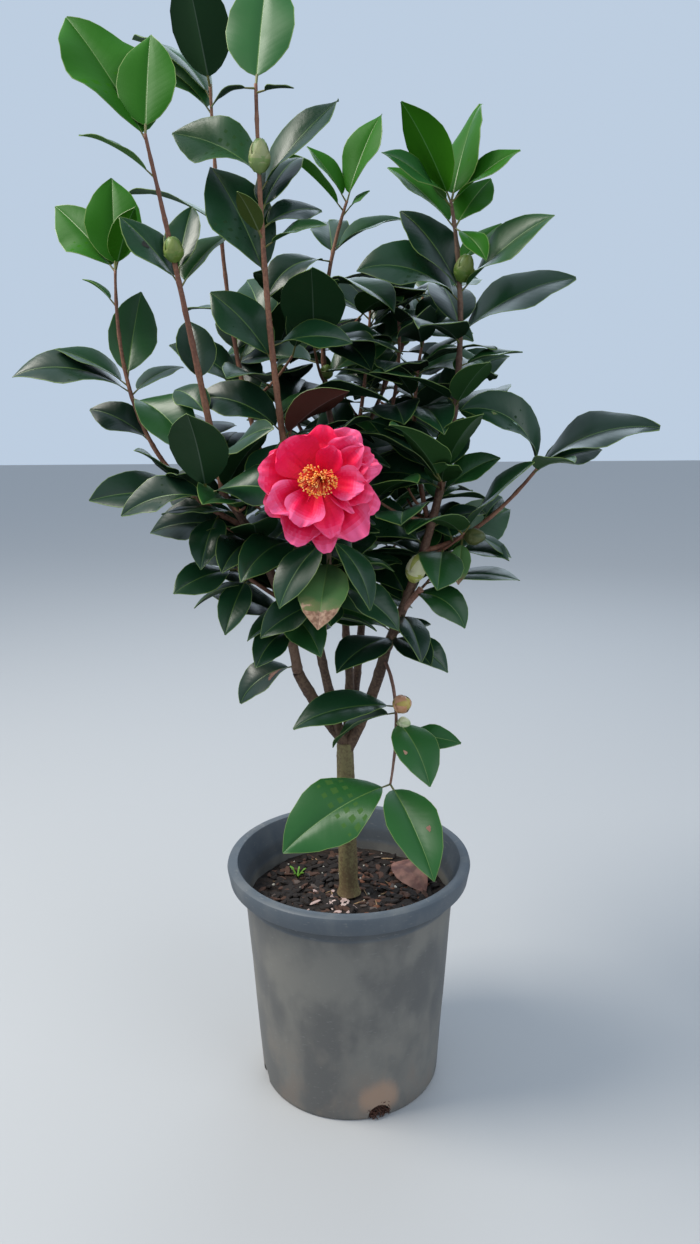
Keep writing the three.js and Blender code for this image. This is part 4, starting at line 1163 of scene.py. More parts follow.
def drying(name, dry_from):
    """Pale green skin that turns to dry tan along an uneven border."""
    look = veined(name, DRYING_GREEN, 0.5, 0.3)
    along, ragged = look.place_on_blade(1), look.noise(60, 4)
    border = along + ragged * 0.5 - (dry_from + 0.22)
    tan = look.mix(look.noise(240, 3).over(0.35, 0.7), DRY_BROWN, DRY_TAN)
    faded = look.mix(border.over(-0.16, 0), DRYING_GREEN, FADED_GREEN)
    look.set("Base Color", look.mix(border.over(-0.015, 0.015), faded, tan))
    return look


def barked(name, pale, dark, roughness):
    """Bark with long streaks and fine cracks."""
    look = Look(name, pale, roughness)
    streak = look.noise(60, 4, look.stretched(1, 1, 0.22))
    fleck = look.noise(420, 3)
    look.set("Base Color", look.mix((streak * 0.7 + fleck * 0.5).over(0.5, 0.75), dark, pale))
    look.bump(streak * 0.6 + fleck * 0.4, 0.5, 0.0012)
    return look


def leaf_looks_of(blade, looks, draws):
    """Old leaves are dealt one of three greens; young and soft ones have their own."""
    deal = draws.between(0, 1)
    if blade.row in OWN_LOOKS:
        return looks[OWN_LOOKS[blade.row]]
    if blade.kind is YOUNG:
        return looks["leaf_young"]
    if blade.kind is SOFT:
        return looks["leaf_soft"]
    if deal < 0.45:
        return looks["leaf_old"]
    return looks["leaf_older"] if deal < 0.8 else looks["leaf_mid"]


def dress_masses(crown, looks):
    """Stems, twigs and leaves of each mass, in place of its solid."""
    for mass in sorted({row["mass"] for row in SHOOTS.values()}):
        dress_stems(crown, looks, mass)
        leaves = Piece(f"leaves_{mass}", "bloom" if mass == "bloom_spray" else "leaves", [mass])
        draws = Draws(LEAF_LOOK_SEED + len(mass))
        for blade in crown.leaves:
            if blade.mass == mass:
                add_leaf_to(leaves, blade, leaf_looks_of(blade, looks, draws), draws)
        leaves.build()


def dress_stems(crown, looks, mass):
    """Shoots and twigs of one mass, swollen where leaves once sat."""
    stems = Piece(f"stems_{mass}", "bark")
    for name, row in SHOOTS.items():
        if row["mass"] != mass:
            continue
        limb = crown.limbs[name]
        look = looks["stem"] if name.endswith("_stem") else looks["young"]
        look = looks["low"] if name == "low_stem" else look
        steps = max(8, round(limb.length() / SHOOT_STEP))
        spacing, share = SHOOT_SWELLING
        swelling = node_swelling(limb, spacing, share * limb.radii[0])
        add_tube(stems, limb, "shoot", look, steps, swelling)
    for twig_mass, twig in crown.twigs:
        if twig_mass == mass:
            swelling = node_swelling(twig, *TWIG_SWELLING)
            add_tube(stems, twig, "twig", looks["young"], TWIG_STEPS, swelling)
    stems.build()


# Cut side branch: place on the right stem, tip and radii
STUB_AT = 0.09
STUB_TIP = (73.2, -20, 550.4)
STUB_RADII = (3.4, 3)
STUB_SIDES = 12


def dress_wood(crown, looks):
    """Trunk with its flared foot, and boughs that run on into the stems."""
    wood = Piece("trunk_and_boughs", "bark", ["trunk", *BOUGHS])

    def flare(t):
        height = crown.limbs["trunk"].axis(t).z - SOIL_TOP
        return FLARE * max(0, 1 - height / FLARE_HEIGHT) ** 2

    add_tube(wood, crown.limbs["trunk"], "trunk", looks["trunk"], TRUNK_STEPS, flare)
    for name in BOUGHS:
        limb = crown.limbs[name]
        swelling = node_swelling(limb, *BOUGH_SWELLING)
        add_tube(wood, limb, "bough", looks["bough"], BOUGH_STEPS, swelling)
    wood.build()
    add_cut_stub(crown, looks)


def stub_swelling(t):
    """Collar at the stub's foot and a burr round its cut end."""
    return 0.9 * max(0, 1 - t / 0.2) + 0.5 * max(0, (t - 0.85) / 0.15)


def add_cut_stub(crown, looks):
    """Short cut side branch low on the right stem, with its pale ragged end."""
    start, end = crown.limbs["right_stem"].axis(STUB_AT), Vector(STUB_TIP)
    stub = Limb(start, start.lerp(end, 0.5) + UP * 0.6, end, STUB_RADII)
    piece = Piece("cut_stub", "bark")
    add_tube(piece, stub, "stub", looks["stub"], STUB_STEPS, stub_swelling)
    heading = stub.heading(1)
    disc = circle(end + heading * 0.5, heading, STUB_RADII[1] * 0.85, STUB_SIDES)
    heart = circle(end, heading, 1, STUB_SIDES)
    hollow = [p + heading * (-0.5 - 0.5 * noise.noise(p)) for p in heart]
    floor = tuple(range(STUB_SIDES, 2 * STUB_SIDES))
    faces = [*grid_faces(2, STUB_SIDES, True), floor]
    piece.add([*disc, *hollow], faces, looks["cut"])
    piece.build()


# Petals of the open bloom, back to front: azimuth round the heart, reach, width, height of the
# middle and of the rim over the bloom's plane, cup of the sides, waves of the rim, share of lighter
# pink rim, which is partly the petal's own edge and partly painted highlight
HEART_PLACE = (-2, 7)
PETAL_BASE = -13
PETALS = [
    [82, 47, 34, -13, -9, 3, 1.5, 0], [52, 54, 40, -15, -12, 3, 2, 0.6], [14, 55, 28, -13, -9, 3, 2, 0.7],
    [-24, 56, 34, -14, -12, 3, 1.5, 0.6], [-84, 60, 30, -13, -8, 4, 3, 0.6],
    [-152, 50, 36, -13, -8, 4, 2, 0.4],
    [150, 46, 30, -13, -8, 4, 2, 0.2], [112, 40, 38, -13, -9, 3, 2, 0], [-112, 57, 38, -11, -4, 7, 3, 0.5],
    [-52, 61, 42, -9, -3, 4, 3.5, 1], [172, 50, 46, -9, -2, 8, 2, 0.3], [26, 51, 28, -7, 0, 7, 3, 0.5],
    [8, 50, 20, -6, 1, 5, 2, 0.8], [-17, 47, 28, -6, 3, 7, 2, 0.4], [42, 47, 34, -6, 3, 9, 4, 0.5],
    [-76, 49, 28, -4, 2, 5, 1, 0.3], [130, 42, 44, -8, 2, 10, 1.5, 0.1],
    [-150, 47, 32, -5, 5, 7, 4, 0.9], [-116, 41, 36, -3, 7, 7, 4.5, 1],
    [-8, 38, 30, -4, 8, 8, 4.5, 0.9], [60, 30, 24, -6, 4, 8, 2, 0.1], [-44, 40, 9, -4, 4, 3, 1, 0.6],
]
PETAL_SEED = 811
PETAL_ROWS = 17
PETAL_COLUMNS = 19
PETAL_THICK = 0.5
PETAL_SHADES = 12

# Reds of a petal, and how far along the run from its foot to its rim each one stands. The deepest
# is partly painted shade in the cup round the stamens, the lightest partly a painted highlight
PETAL_REDS = [(0.5, 0, 0.014), (0.84, 0, 0.04), (0.95, 0.006, 0.085), (1, 0.13, 0.3)]
PETAL_STEPS = (0, 0.3, 0.6, 1)

# Stamens: their draws and count, the outline of an anther, and the form of every fine thread
STAMEN_SEED = 4001
STAMEN_COUNT = 175
ANTHER = [(0, 0.45), (0.8, 0.72), (1.7, 0.5)]
ANTHER_LENGTH = 2.2
THREAD_PLACES = (0, 0.35, 0.7, 1)
THREAD_SIDES = 5


def bloom_turn():
    """Turns the bloom's own axes, with its face along +Z, to its place on the plant."""
    facing = Vector(BLOOM_FACING).normalized()
    side = UP.cross(facing).normalized()
    rows = (side, facing.cross(side), facing)
    return Matrix.Translation(BLOOM_CENTRE) @ Matrix(rows).transposed().to_4x4()


def petal_points(reach, width, middle, rim, cup, wave, draws):
    """Spoon of a petal with a narrow foot, a round ruffled end and cupped sides."""
    v = np.linspace(0, 1, PETAL_ROWS)[:, None]
    u = np.linspace(-1, 1, PETAL_COLUMNS)[None]
    spread = np.clip(v / 0.62, 0, 1)
    shape = 0.3 + 0.7 * spread**2 * (3 - 2 * spread)
    shape = shape * np.sqrt(1 - (np.clip(v - 0.6, 0, 1) / 0.6) ** 2)
    notch, dent = draws.between(0, 0.05), draws.between(-0.35, 0.35)
    beat, phase = draws.between(1.1, 2.2), draws.between(0, 6)
    fine_beat, fine_phase = draws.between(3.2, 4.6), draws.between(0, 6)
    edge = 1 - notch * np.exp(-(((u - dent) / 0.2) ** 2)) * v**5
    edge = edge + 0.005 * np.sin(fine_beat * np.pi * u + fine_phase) * v**5
    edge = edge - 0.24 * np.abs(u) ** 2.6 * v**3
    out = reach * v * edge
    across = width / 2 * shape * u
    height = PETAL_BASE * (1 - v) * (1 - 2 * v) + middle * 4 * v * (1 - v) + rim * v * (2 * v - 1)
    height = height + cup * u**2 * shape * (1 - 0.3 * v)
    ruffle = np.sin(beat * np.pi * u + phase) + 0.45 * np.sin(fine_beat * np.pi * u + 3 * v + fine_phase)
    height = height + wave * ruffle * v**2.5
    height = height - 2.2 * np.clip((v - 0.8) / 0.2, 0, 1) ** 2 - 1.5 * np.abs(u) ** 6 * v
    shift = draws.between(0, 100)
    for row, column in np.ndindex(height.shape):
        spot = Vector((out[row, column] * 0.09, across[row, column] * 0.14, shift))
        height[row, column] += 2.6 * v[row, 0] * noise.noise(spot)
    return np.stack([out + 0 * u, across, height], 2)


def petal_tones(shades, pale_rim_highlight, draws):
    """Deepest red at the foot, partly painted shade, rose over the middle and lighter pink towards the rim,
    partly painted highlight.
    """
    tones = []
    for row in range(PETAL_ROWS - 1):
        for column in range(PETAL_COLUMNS - 1):
            v = (row + 0.5) / (PETAL_ROWS - 1)
            side = abs((column + 0.5) / (PETAL_COLUMNS - 1) * 2 - 1)
            rim = max(v, 0.5 + 0.5 * side * min(1, v * 2))
            tone = 0.9 * v + pale_rim_highlight * 2.6 * max(0, rim - 0.62) + draws.between(-0.045, 0.045)
            tones.append(shades[min(len(shades) - 1, max(0, int(tone * len(shades) * 0.72)))])
    return tones


def dress_petals(turn):
    """Petals from the back ones to the front ones, each with its own draws."""
    shades = []
    for k in range(PETAL_SHADES):
        share = k / (PETAL_SHADES - 1)
        colour = [float(np.interp(share, PETAL_STEPS, channel)) for channel in zip(*PETAL_REDS)]
        shades.append(petal_skin(f"petal_rose_{k}", colour))
    bloom = Piece("bloom_petals", "bloom", ["bloom_spray"])
    draws = Draws(PETAL_SEED)
    for azimuth, reach, width, middle, height, cup, wave, pale_rim_highlight in PETALS:
        grid = petal_points(reach, width, middle, height, cup, wave, draws)
        tones = petal_tones(shades, pale_rim_highlight, draws)
        c, s = math.cos(radians(azimuth)), math.sin(radians(azimuth))
        x, y, z = grid[..., 0] + 1.5, grid[..., 1], grid[..., 2]
        placed = np.stack([x * c - y * s + HEART_PLACE[0], x * s + y * c + HEART_PLACE[1], z], 2)
        faces = grid_faces(PETAL_ROWS, PETAL_COLUMNS)
        placed = placed.reshape(-1, 3)
        front = [turn @ Vector(p) for p in placed]
        back = [turn @ Vector(p) for p in placed - (0, 0, PETAL_THICK)]
        bloom.add(front, faces, tones)
        bloom.add(back, [face[::-1] for face in faces], tones)
    bloom.build()


def petal_skin(name, colour):
    """Soft petal with the faintest of veins."""
    look = Look(name, colour, 0.6, specular_ior_level=0.25)
    look.bump(look.noise(350, 3), 0.25, 0.0008)
    return look


def add_thread(piece, thread, look, turn):
    """Fine open tube along a limb, placed by a turn."""
    points = []
    for t in THREAD_PLACES:
        ring = circle(thread.axis(t), thread.heading(t), thread.radius(t), THREAD_SIDES)
        points += [turn @ p for p in ring]
    piece.add(points, grid_faces(len(THREAD_PLACES), THREAD_SIDES, True), look)


def dress_stamens(turn):
    """Tuft of stamens that opens towards the viewer, with most anthers round its edge."""
    stamens = Piece("bloom_stamens", "bloom")
    filament = Look("stamen_filament", (0.95, 0.12, 0.05), 0.5)
    pale_filament = Look("stamen_filament_pale", (1, 0.3, 0.12), 0.5)
    anther = Look("stamen_anther", (1, 0.36, 0.05), 0.65)
    pale_anther = Look("stamen_anther_pale", (1, 0.52, 0.16), 0.65)
    middle_x, middle_y = HEART_PLACE
    draws = Draws(STAMEN_SEED)
    for i in range(STAMEN_COUNT):
        at_edge = i % 5 > 1
        angle = radians(draws.between(-250, 40) if at_edge else draws.between(0, 360))
        spread = draws.between(11.5, 16.5) if at_edge else draws.between(3, 12)
        x = middle_x + math.cos(angle) * spread
        y = middle_y - 1 + math.sin(angle) * spread * 0.9
        tip = Vector((x, y, 15 - 0.45 * spread + draws.between(-1.5, 1.5)))
        foot = Vector((middle_x + 3 + 0.12 * (x + 2), middle_y + 4 + 0.12 * (y - 6), -9))
        bend = foot.lerp(tip, 0.55) + Vector((0, 0, 2.5))
        look = pale_filament if draws.between(0, 1) > 0.6 else filament
        add_thread(stamens, Limb(foot, bend, tip, [0.5, 0.32]), look, turn)
        lean = direction(draws.between(0, 360), draws.between(20, 80))
        points, faces = turned(tip - lean, lean, ANTHER, 6, ANTHER_LENGTH)
        look = pale_anther if draws.between(0, 1) > 0.65 else anther
        stamens.add([turn @ p for p in points], faces, look)
    stamens.build()


# Buds by tint: colour of the scales and of their tips
BUD_SKINS = {
    "green": [(0.12, 0.2, 0.03), (0.17, 0.22, 0.045)],
    "fresh": [(0.19, 0.27, 0.08), (0.3, 0.32, 0.14)],
    "dusky": [(0.07, 0.09, 0.022), (0.1, 0.11, 0.03)],
    "opening": [(0.56, 0.58, 0.13), (0.8, 0.78, 0.46)],
    "blush": [(0.52, 0.38, 0.09), (0.62, 0.3, 0.16)],
    "cream": [(0.5, 0.55, 0.28), (0.66, 0.66, 0.4)],
}

# Tints in the order of the buds, then the smaller pale bud that only the scene has, under the blushed one
BUD_TINTS = ["green", "fresh", "green", "green", "opening", "dusky", "blush", "green", "green", "cream"]
SIDE_BUD = ["low_stem", 0.6, 320, 12, 13, 13]

# Layers of a bud's scales: top, half spread in radians, count. Then the grid of a scale and the core
BUD_SCALES = [[0.97, 1.1, 3], [0.8, 1, 3], [0.55, 0.9, 4], [0.3, 0.8, 4]]
SCALE_ROWS = 8
SCALE_COLUMNS = 9
BUD_SIDES = 14
BUD_PLACES = (0, 0.2, 0.4, 0.6, 0.8, 0.93)

# Chips on the soil: look, colour, count, length, width, thickness, middle and spread of where they lie
CHIP_SEED = 60221
CHIPS = [
    ["chip_black", (0.012, 0.007, 0.005), 380, 15, 9, 3, (0, 0), 108],
    ["chip_brown", (0.075, 0.035, 0.022), 280, 14, 7, 2.4, (0, 0), 108],
    ["chip_grey", (0.1, 0.075, 0.065), 60, 13, 6, 2, (0, 0), 104],
    ["chip_rust", (0.15, 0.055, 0.026), 60, 12, 5, 1.8, (50, 10), 60],
    ["chip_straw", (0.36, 0.23, 0.12), 60, 18, 1.4, 1, (-10, 20), 96],
    ["chip_pale", (0.5, 0.36, 0.33), 22, 15, 7, 1.8, (-24, -22), 34],
    ["chip_flake", (0.6, 0.46, 0.42), 5, 22, 13, 2, (-16, -16), 12],
    ["chip_grit", (0.5, 0.48, 0.42), 50, 3.4, 2.6, 1.8, (0, 20), 100],
]
CHIP_SIDES = 7
TRUNK_CLEARANCE = 13

# Fallen leaf and seedling: places on the soil, and each seedling leaf's azimuth and length
FALLEN_LEAF_PLACE = (48, 60)
FALLEN_LEAF_SEED = 77
SEEDLING_PLACE = (-58, 40)
SEEDLING_SEED = 90
SEEDLING_LEAVES = [(20, 5), (140, 6.5), (250, 4.5), (310, 6), (80, 3.5)]
PLAIN_PARTS = ("upper", "margin", "rib", "under", "under_rib", "stalk")

# Roots in the front drain
ROOT_SEED = 5150
ROOT_COUNT = 150


def dress_buds(crown):
    """Buds wrapped in rounded overlapping scales, some about to open."""
    skins = {}
    for name, (body, tip) in BUD_SKINS.items():
        skins[name] = (bud_skin(f"bud_{name}", body, 0.45), bud_skin(f"bud_{name}_tip", tip, 0.5))
    buds = Piece("buds", "leaves")
    for row, tint in zip([*BUDS, SIDE_BUD], BUD_TINTS):
        shoot, at, azimuth, rise, length, width = row
        facing = direction(azimuth, rise)
        side = facing.cross(Vector((0.3, 1, 0.1))).normalized()
        axes = (crown.limbs[shoot].axis(at), facing, side, facing.cross(side))
        add_scale_layers(buds, axes, length, width, skins[tint])
    buds.build()


def bud_skin(name, colour, roughness):
    """Satin scale with fine lengthwise lines."""
    look = Look(name, colour, roughness)
    look.bump(look.noise(700, 2, look.stretched(1, 1, 0.3)), 0.25, 0.0004)
    return look


def bud_radius(share, width):
    """Half width of a bud at a share of its length: a plump egg."""
    if share < 0.4:
        return width / 2 * (0.45 + 0.55 * math.sin(math.pi / 2 * share / 0.4))
    return width / 2 * math.sqrt(max(0, 1 - ((share - 0.4) / 0.6) ** 2))


def add_scale_layers(piece, axes, length, width, skins):
    """Core of a bud, then layers of scales from the tip down, each lying over the last."""
    centre, facing, side, other = axes
    rings = [ring_at(axes, height, 1.5, BUD_SIDES) for height in (0, BUD_STALK * 0.8)]
    for share in BUD_PLACES:
        rings.append(ring_at(axes, BUD_STALK + length * share, bud_radius(share, width) * 0.9, BUD_SIDES))
    points, faces = loft(rings, centre + facing * (BUD_STALK + length * 0.97))
    piece.add(points, faces, skins[0])
    for layer, (_, _, count) in enumerate(BUD_SCALES):
        faces = grid_faces(SCALE_ROWS, SCALE_COLUMNS)
        rows = [k // (SCALE_COLUMNS - 1) for k in range(len(faces))]
        looks = [skins[1] if row > 2 + layer else skins[0] for row in rows]
        for k in range(count):
            turn = 2 * math.pi * (k / count + 0.37 * layer)
            points = scale_points(axes, length, width, layer, turn)
            piece.add(points, faces, looks)


def scale_points(axes, length, width, layer, turn):
    """Rounded scale that wraps a bud, highest along its middle."""
    centre, facing, side, other = axes
    top, spread = BUD_SCALES[layer][:2]
    half = (SCALE_COLUMNS - 1) / 2
    points = []
    for row in range(SCALE_ROWS):
        upward = row / (SCALE_ROWS - 1)
        share = top * upward
        wide = spread * math.sqrt(max(0.004, 1 - upward**2.4))
        radius = bud_radius(share, width) * (0.93 + 0.05 * layer)
        for column in range(SCALE_COLUMNS):
            across = column / half - 1
            angle = turn + wide * across
            lift = radius + 0.25 - 0.35 * across**2
            flat = side * math.cos(angle) + other * math.sin(angle)
            points.append(centre + facing * (BUD_STALK + length * share) + flat * lift)
    return points


def ring_at(axes, height, radius, sides):
    centre, facing, side, other = axes
    angles = [2 * math.pi * i / sides for i in range(sides)]
    return [centre + facing * height + (side * math.cos(a) + other * math.sin(a)) * radius for a in angles]


def lathe_points(profile, sides):
    points = []
    for radius, height in profile:
        for i in range(sides):
            angle = 2 * math.pi * i / sides
            points.append((radius * math.cos(angle), radius * math.sin(angle), height))
    return points


def outer_radius(height):
    share = min(1, height / (POT_HEIGHT - COLLAR_HEIGHT))
    return BASE_RADIUS + (COLLAR_RADIUS - BASE_RADIUS) * share


# Fineness of the turned pot, of its drain arches and of the soil
POT_SIDES = 144
DRAIN_SIDES = 24
SOIL_SIDES = 96
SOIL_RINGS = 40


def pot_profile():
    """Radius and height round the pot's wall, from the middle of its underside to that of its floor."""
    collar, band = POT_HEIGHT - COLLAR_HEIGHT, POT_HEIGHT - BAND_HEIGHT
    wall = [(outer_radius(h), h) for h in (5, 25, 60, 100, 140, 180, collar)]
    inside = [(r - WALL, h) for r, h in wall[::-1]]
    foot = [(2, 0), (BASE_RADIUS - 4, 0), (BASE_RADIUS - 1.2, 0.6), (BASE_RADIUS, 3)]
    step = [(COLLAR_RADIUS + 1.6, collar + 1), (COLLAR_RADIUS + 4, band - 1), (COLLAR_RADIUS + 5, band)]
    rim = [
        (RIM_RADIUS - 3.6, band), (RIM_RADIUS - 2.8, band + 1), (RIM_RADIUS, POT_HEIGHT - 5),
        (RIM_RADIUS - 0.8, POT_HEIGHT - 2), (RIM_RADIUS - 3, POT_HEIGHT - 0.3),
    ]
    lip = [
        (MOUTH_RADIUS + 4, POT_HEIGHT), (MOUTH_RADIUS + 1.4, POT_HEIGHT - 1),
        (MOUTH_RADIUS, POT_HEIGHT - 4), (COLLAR_RADIUS + 1, band - 2),
    ]
    profile = [*foot, *wall, *step, *rim, *lip]
    return [*profile, *inside, (BASE_RADIUS - WALL - 2, WALL), (2, WALL)]


def dress_pot():
    """Turned pot, uneven as a thin moulding is, with arched drains cut into its foot."""
    profile = pot_profile()
    points = []
    for x, y, z in lathe_points(profile, POT_SIDES):
        bend = 0.7 * noise.noise(Vector((x, y, z)) * 0.012) * min(1, z / 60)
        points.append((x * (1 + bend / 100), y * (1 + bend / 100), z))
    faces = grid_faces(len(profile), POT_SIDES, True)
    faces += [tuple(range(POT_SIDES))[::-1], tuple(range(len(points) - POT_SIDES, len(points)))]
    pot = Piece("pot_shell", "pot_plastic", ["pot"])
    pot.add(points, faces, pot_skin())
    made = pot.build()
    cut_drains(made)
    made.data.set_sharp_from_angle(angle=radians(35))


def cut_drains(pot):
    """Round arches cut through the wall at its foot."""
    points, faces = [], []
    for k in range(DRAIN_COUNT):
        out = direction(FIRST_DRAIN + 360 / DRAIN_COUNT * k, 0)
        middle = UP * DRAIN_CENTRE
        ends = (BASE_RADIUS - 14, BASE_RADIUS + 12)
        rings = [circle(middle + out * end, out, DRAIN_RADIUS, DRAIN_SIDES) for end in ends]
        arch, arch_faces = loft(rings)
        faces += [tuple(i + len(points) for i in face) for face in arch_faces]
        points += arch
    mesh = bpy.data.meshes.new("drain_arches")
    mesh.from_pydata([tuple(p / 1000) for p in points], [], faces)
    arches = bpy.data.objects.new("drain_arches", mesh)
    bpy.context.scene.collection.objects.link(arches)
    cut = pot.modifiers.new("drains", "BOOLEAN")
    cut.operation, cut.solver, cut.object = "DIFFERENCE", "EXACT", arches
    bpy.context.view_layer.update()
    shaped = bpy.data.meshes.new_from_object(pot.evaluated_get(bpy.context.evaluated_depsgraph_get()))
    pot.modifiers.remove(cut)
    pot.data = shaped
    bpy.data.objects.remove(arches)
    bpy.data.meshes.remove(mesh)


def pot_skin():
    """Weathered grey plastic: bluer and clean at the rim, dusty lower down, tan over the front drain, with
    painted shade under the rim band.
    """
    look = Look("pot_plastic", (0.12, 0.12, 0.12), 0.6)
    collar, band = POT_HEIGHT - COLLAR_HEIGHT, POT_HEIGHT - BAND_HEIGHT
    height = look.part_of_place(2)
    level = height * 1000
    cloud, smear = look.noise(11, 4), look.noise(38, 5, look.stretched(1, 1, 0.55))
    scratch = look.noise(160, 3, look.stretched(1, 1, 3))
    dusty = (cloud * 0.75 + smear * 0.45).over(0.5, 0.72)
    body = look.mix(dusty, (0.11, 0.107, 0.1), (0.19, 0.18, 0.158))
    low_tan = (0.12 - height).over(0, 0.12) * smear.over(0.42, 0.7) * 0.6
    body = look.mix(low_tan, body, (0.19, 0.145, 0.115))
    drain = tuple(direction(FIRST_DRAIN, 0) * 0.098 + UP * 0.026)
    near = look.node("ShaderNodeVectorMath", (look.place(), drain), output=1, operation="DISTANCE")
    streak = look.noise(70, 4, look.stretched(1, 1, 0.3))
    body = look.mix((0.02 - near + streak * 0.014).over(0, 0.016) * 0.75, body, (0.38, 0.24, 0.16))
    rim = look.mix(smear.over(0.4, 0.75), (0.075, 0.092, 0.11), (0.12, 0.132, 0.142))
    body = look.mix(level.over(collar - 3, collar + 4), body, rim)
    # Painted shade: the wall between the collar and the rim band is darkened where the band overhangs it.
    under_band_shade = (1 - level.over(band - 6, band + 1)) * level.over(collar + 1, collar + 5)
    body = look.mix(under_band_shade * 0.45, body, (0.06, 0.06, 0.058))
    look.set("Base Color", look.mix(scratch.over(0.62, 0.72) * 0.3, body, (0.24, 0.235, 0.22)))
    look.set("Roughness", dusty * 0.2 + 0.52)
    look.bump(scratch * 0.4 + smear * 0.6, 0.18, 0.0009)
    return look


def soil_height(x, y):
    """Height of the lumpy soil at a place."""
    lump = noise.noise(Vector((x, y, 0)) * 0.05) * 2.6 + noise.noise(Vector((x, y, 5)) * 0.2) * 1.4
    return SOIL_TOP - 2.5 + lump


def dress_soil():
    """Dark soil, with its bark chips and straw, a fallen leaf and a seedling."""
    earth = Look("soil", (0.02, 0.012, 0.008), 0.95)
    clod = earth.noise(160, 5)
    earth.set("Base Color", earth.mix(clod.over(0.35, 0.7), (0.008, 0.005, 0.004), (0.03, 0.017, 0.011)))
    earth.bump(clod, 0.8, 0.003)
    soil = Piece("soil_bed", "soil", ["potting_soil"])
    reach = outer_radius(SOIL_TOP) - WALL - GAP
    points = []
    for r in range(SOIL_RINGS):
        radius = max(0.01, reach * (r / (SOIL_RINGS - 1)) ** 0.9)
        for i in range(SOIL_SIDES):
            angle = 2 * math.pi * i / SOIL_SIDES
            x, y = radius * math.cos(angle), radius * math.sin(angle)
            points.append((x, y, soil_height(x, y)))
    soil.add(points, grid_faces(SOIL_RINGS, SOIL_SIDES, True), earth)
    soil.build()
    scatter_chips(reach)
    lay_fallen_leaf()
    add_seedling()


def scatter_chips(reach):
    """Chips dealt out by kind, clear of the trunk and of the wall."""
    chips = Piece("soil_chips", "soil")
    draws = Draws(CHIP_SEED)
    for name, colour, count, length, width, thick, middle, spread in CHIPS:
        look = Look(name, colour, 0.85)
        look.bump(look.noise(300, 3), 0.5, 0.001)
        for _ in range(count):
            angle, far = draws.between(0, 2 * math.pi), draws.between(0, 1) ** 0.5 * spread
            x, y = middle[0] + far * math.cos(angle), middle[1] + far * math.sin(angle)
            size = draws.between(0.6, 1.3)
            turn, tilt = draws.between(0, 360), draws.between(-22, 22)
            if TRUNK_CLEARANCE < math.hypot(x, y) < reach - length / 2 - 3:
                centre = Vector((x, y, soil_height(x, y) + thick * 0.4))
                half = (length * size / 2, width * size / 2, thick / 2)
                add_chip(chips, centre, turn, tilt, half, draws, look)
    chips.build(smooth=False)


def add_chip(piece, centre, turn, tilt, half, draws, look):
    """Flat splinter with a ragged outline."""
    ahead = direction(turn, tilt)
    side = direction(turn + 90, draws.between(-25, 25))
    top = ahead.cross(side).normalized()
    rings = []
    for level, shrink in ((-1, 0.8), (0.2, 1), (1, 0.75)):
        ring = []
        for i in range(CHIP_SIDES):
            angle = 2 * math.pi * i / CHIP_SIDES
            rough = shrink * draws.between(0.75, 1.1)
            flat = ahead * math.cos(angle) * half[0] * rough + side * math.sin(angle) * half[1] * rough
            ring.append(centre + flat + top * half[2] * level)
        rings.append(ring)
    points, faces = loft(rings)
    piece.add(points, faces, look)


def lay_fallen_leaf():
    """Dry leaf that curls on the soil by the right of the trunk."""
    brown = Look("fallen_leaf", (0.25, 0.085, 0.05), 0.6)
    patch = brown.noise(90, 4).over(0.35, 0.7)
    brown.set("Base Color", brown.mix(patch, (0.11, 0.042, 0.033), (0.28, 0.13, 0.095)))
    brown.bump(brown.noise(200, 3), 0.3, 0.001)
    skins = {part: brown for part in PLAIN_PARTS}
    foot = Vector((*FALLEN_LEAF_PLACE, soil_height(*FALLEN_LEAF_PLACE) + 7))
    shape = {"rise": 22, "length": 66, "arch": 62, "width": 0.5, "roll": 30}
    leaf = Piece("fallen_leaf", "leaves")
    add_leaf_to(leaf, Blade(foot, 300, shape, OUTER_BLADE, OLD), skins, Draws(FALLEN_LEAF_SEED))
    leaf.build()


def add_seedling():
    """Seedling of five small bright leaves, at the left of the trunk."""
    green = Look("seedling_leaf", (0.12, 0.3, 0.02), 0.5)
    skins = {part: green for part in PLAIN_PARTS}
    seedling = Piece("seedling", "leaves")
    foot = Vector((*SEEDLING_PLACE, soil_height(*SEEDLING_PLACE) - 1))
    for k, (azimuth, length) in enumerate(SEEDLING_LEAVES):
        shape = {"rise": 50, "length": length, "arch": 40, "width": 0.5, "roll": 0}
        blade = Blade(foot, azimuth, shape, OUTER_BLADE, YOUNG)
        add_leaf_to(seedling, blade, skins, Draws(SEEDLING_SEED + k))
    seedling.build()


def dress_drain_roots():
    """Tuft of fine roots that shows in the front drain."""
    look = Look("drain_root", (0.075, 0.03, 0.018), 0.9)
    roots = Piece("drain_roots", "soil")
    draws = Draws(ROOT_SEED)
    out = direction(FIRST_DRAIN, 0)
    across = direction(FIRST_DRAIN + 90, 0)
    for _ in range(ROOT_COUNT):
        start = out * (BASE_RADIUS - 5) + across * draws.between(-10, 10) + UP * draws.between(2, 15)
        end = start + out * draws.between(2, 8) + across * draws.between(-6, 6) + UP * draws.between(-6, 6)
        end.z = max(end.z, 1)
        via = start.lerp(end, 0.5) + out * draws.between(0, 3) + UP * draws.between(0, 2)
        add_thread(roots, Limb(start, via, end, [0.7, 0.25]), look, Matrix.Identity(4))
    roots.build()


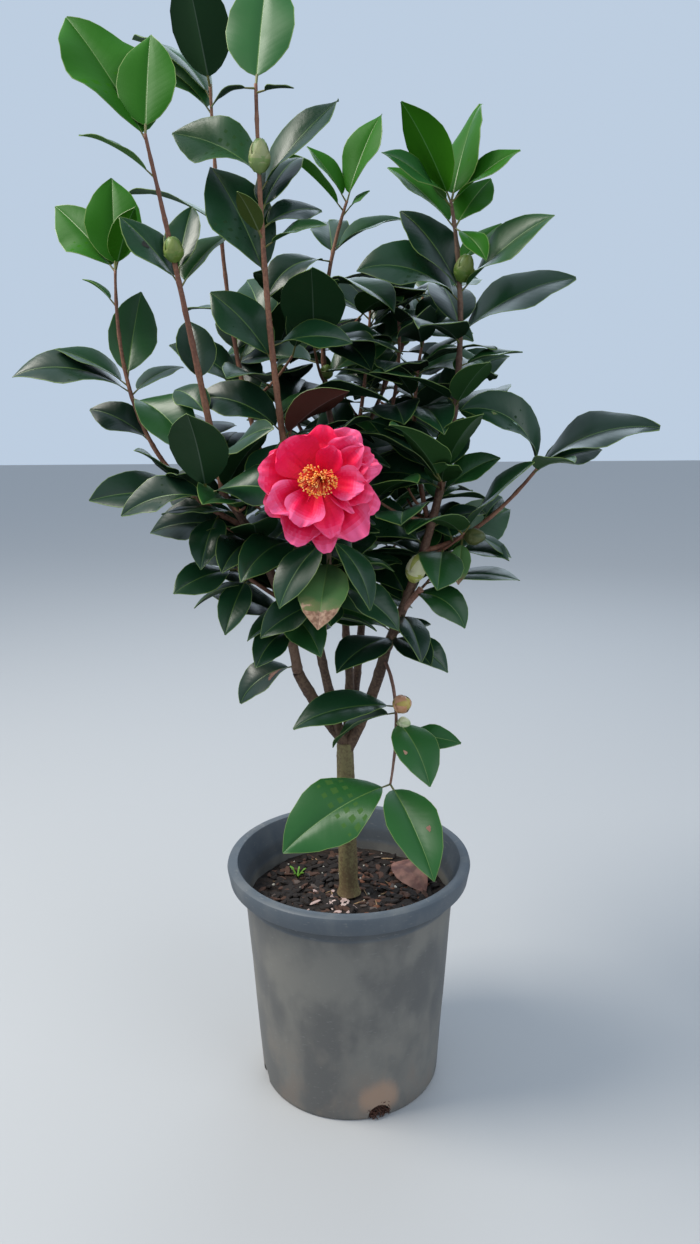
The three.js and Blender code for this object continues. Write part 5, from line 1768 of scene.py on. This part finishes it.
# Even sky, and lamps: place, aim, size, watts and colour
SKY_COLOUR = (0.68, 0.82, 1, 1)
SKY_STRENGTH = 0.75
LAMPS = {
    "key": [(-1.5, -0.2, 2.4), (0, 0, 0.55), 1.1, 66, (1, 0.96, 0.88)],
    "fill": [(1.7, -1.5, 2), (0, 0, 0.7), 1.6, 16, (0.92, 0.96, 1)],
    "rim": [(0.4, 2.0, 1.9), (0, 0, 0.7), 1.4, 12, (0.75, 0.87, 1)],
}
FLOOR_REACH = 8
FLOOR_GREY = (0.46, 0.46, 0.46)


def light_scene():
    """Soft daylight, and a plain floor that is part of the stage."""
    scene = bpy.context.scene
    scene.view_settings.view_transform = "Standard"
    world = bpy.data.worlds.new("studio")
    scene.world = world
    world.use_nodes = True
    world.node_tree.nodes["Background"].inputs[0].default_value = SKY_COLOUR
    world.node_tree.nodes["Background"].inputs[1].default_value = SKY_STRENGTH
    for name, (place, aim, size, power, colour) in LAMPS.items():
        lamp = bpy.data.lights.new(name, "AREA")
        lamp.size, lamp.energy, lamp.color = size, power, colour
        placed = bpy.data.objects.new(name, lamp)
        placed.location = place
        placed.rotation_euler = (Vector(aim) - Vector(place)).to_track_quat("-Z", "Y").to_euler()
        scene.collection.objects.link(placed)
    floor_mesh = bpy.data.meshes.new("floor")
    corners = [(x * FLOOR_REACH, y * FLOOR_REACH, 0) for x, y in ((-1, -1), (1, -1), (1, 1), (-1, 1))]
    floor_mesh.from_pydata(corners, [], [(0, 1, 2, 3)])
    floor = bpy.data.objects.new("floor", floor_mesh)
    floor_mesh.materials.append(Look("floor_paper", FLOOR_GREY, 0.9).material)
    scene.collection.objects.link(floor)


def main():
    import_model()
    set_camera()
    crown = Crown()
    grow_limbs(crown)
    guard_bloom_and_buds(crown)
    grow_outer_leaves(crown)
    grow_twigs(crown, TWIG_ROWS, TWIG_SEED)
    grow_inner_leaves(crown, INNER_LEAF_ROWS, INNER_SEED)
    crown.close_rooms()
    grow_twigs(crown, FINE_TWIG_ROWS, FINE_TWIG_SEED)
    grow_inner_leaves(crown, FINE_LEAF_ROWS, FINE_LEAF_SEED)
    looks = make_looks()
    dress_wood(crown, looks)
    dress_masses(crown, looks)
    dress_buds(crown)
    turn = bloom_turn()
    dress_petals(turn)
    dress_stamens(turn)
    dress_pot()
    dress_drain_roots()
    dress_soil()
    light_scene()


main()
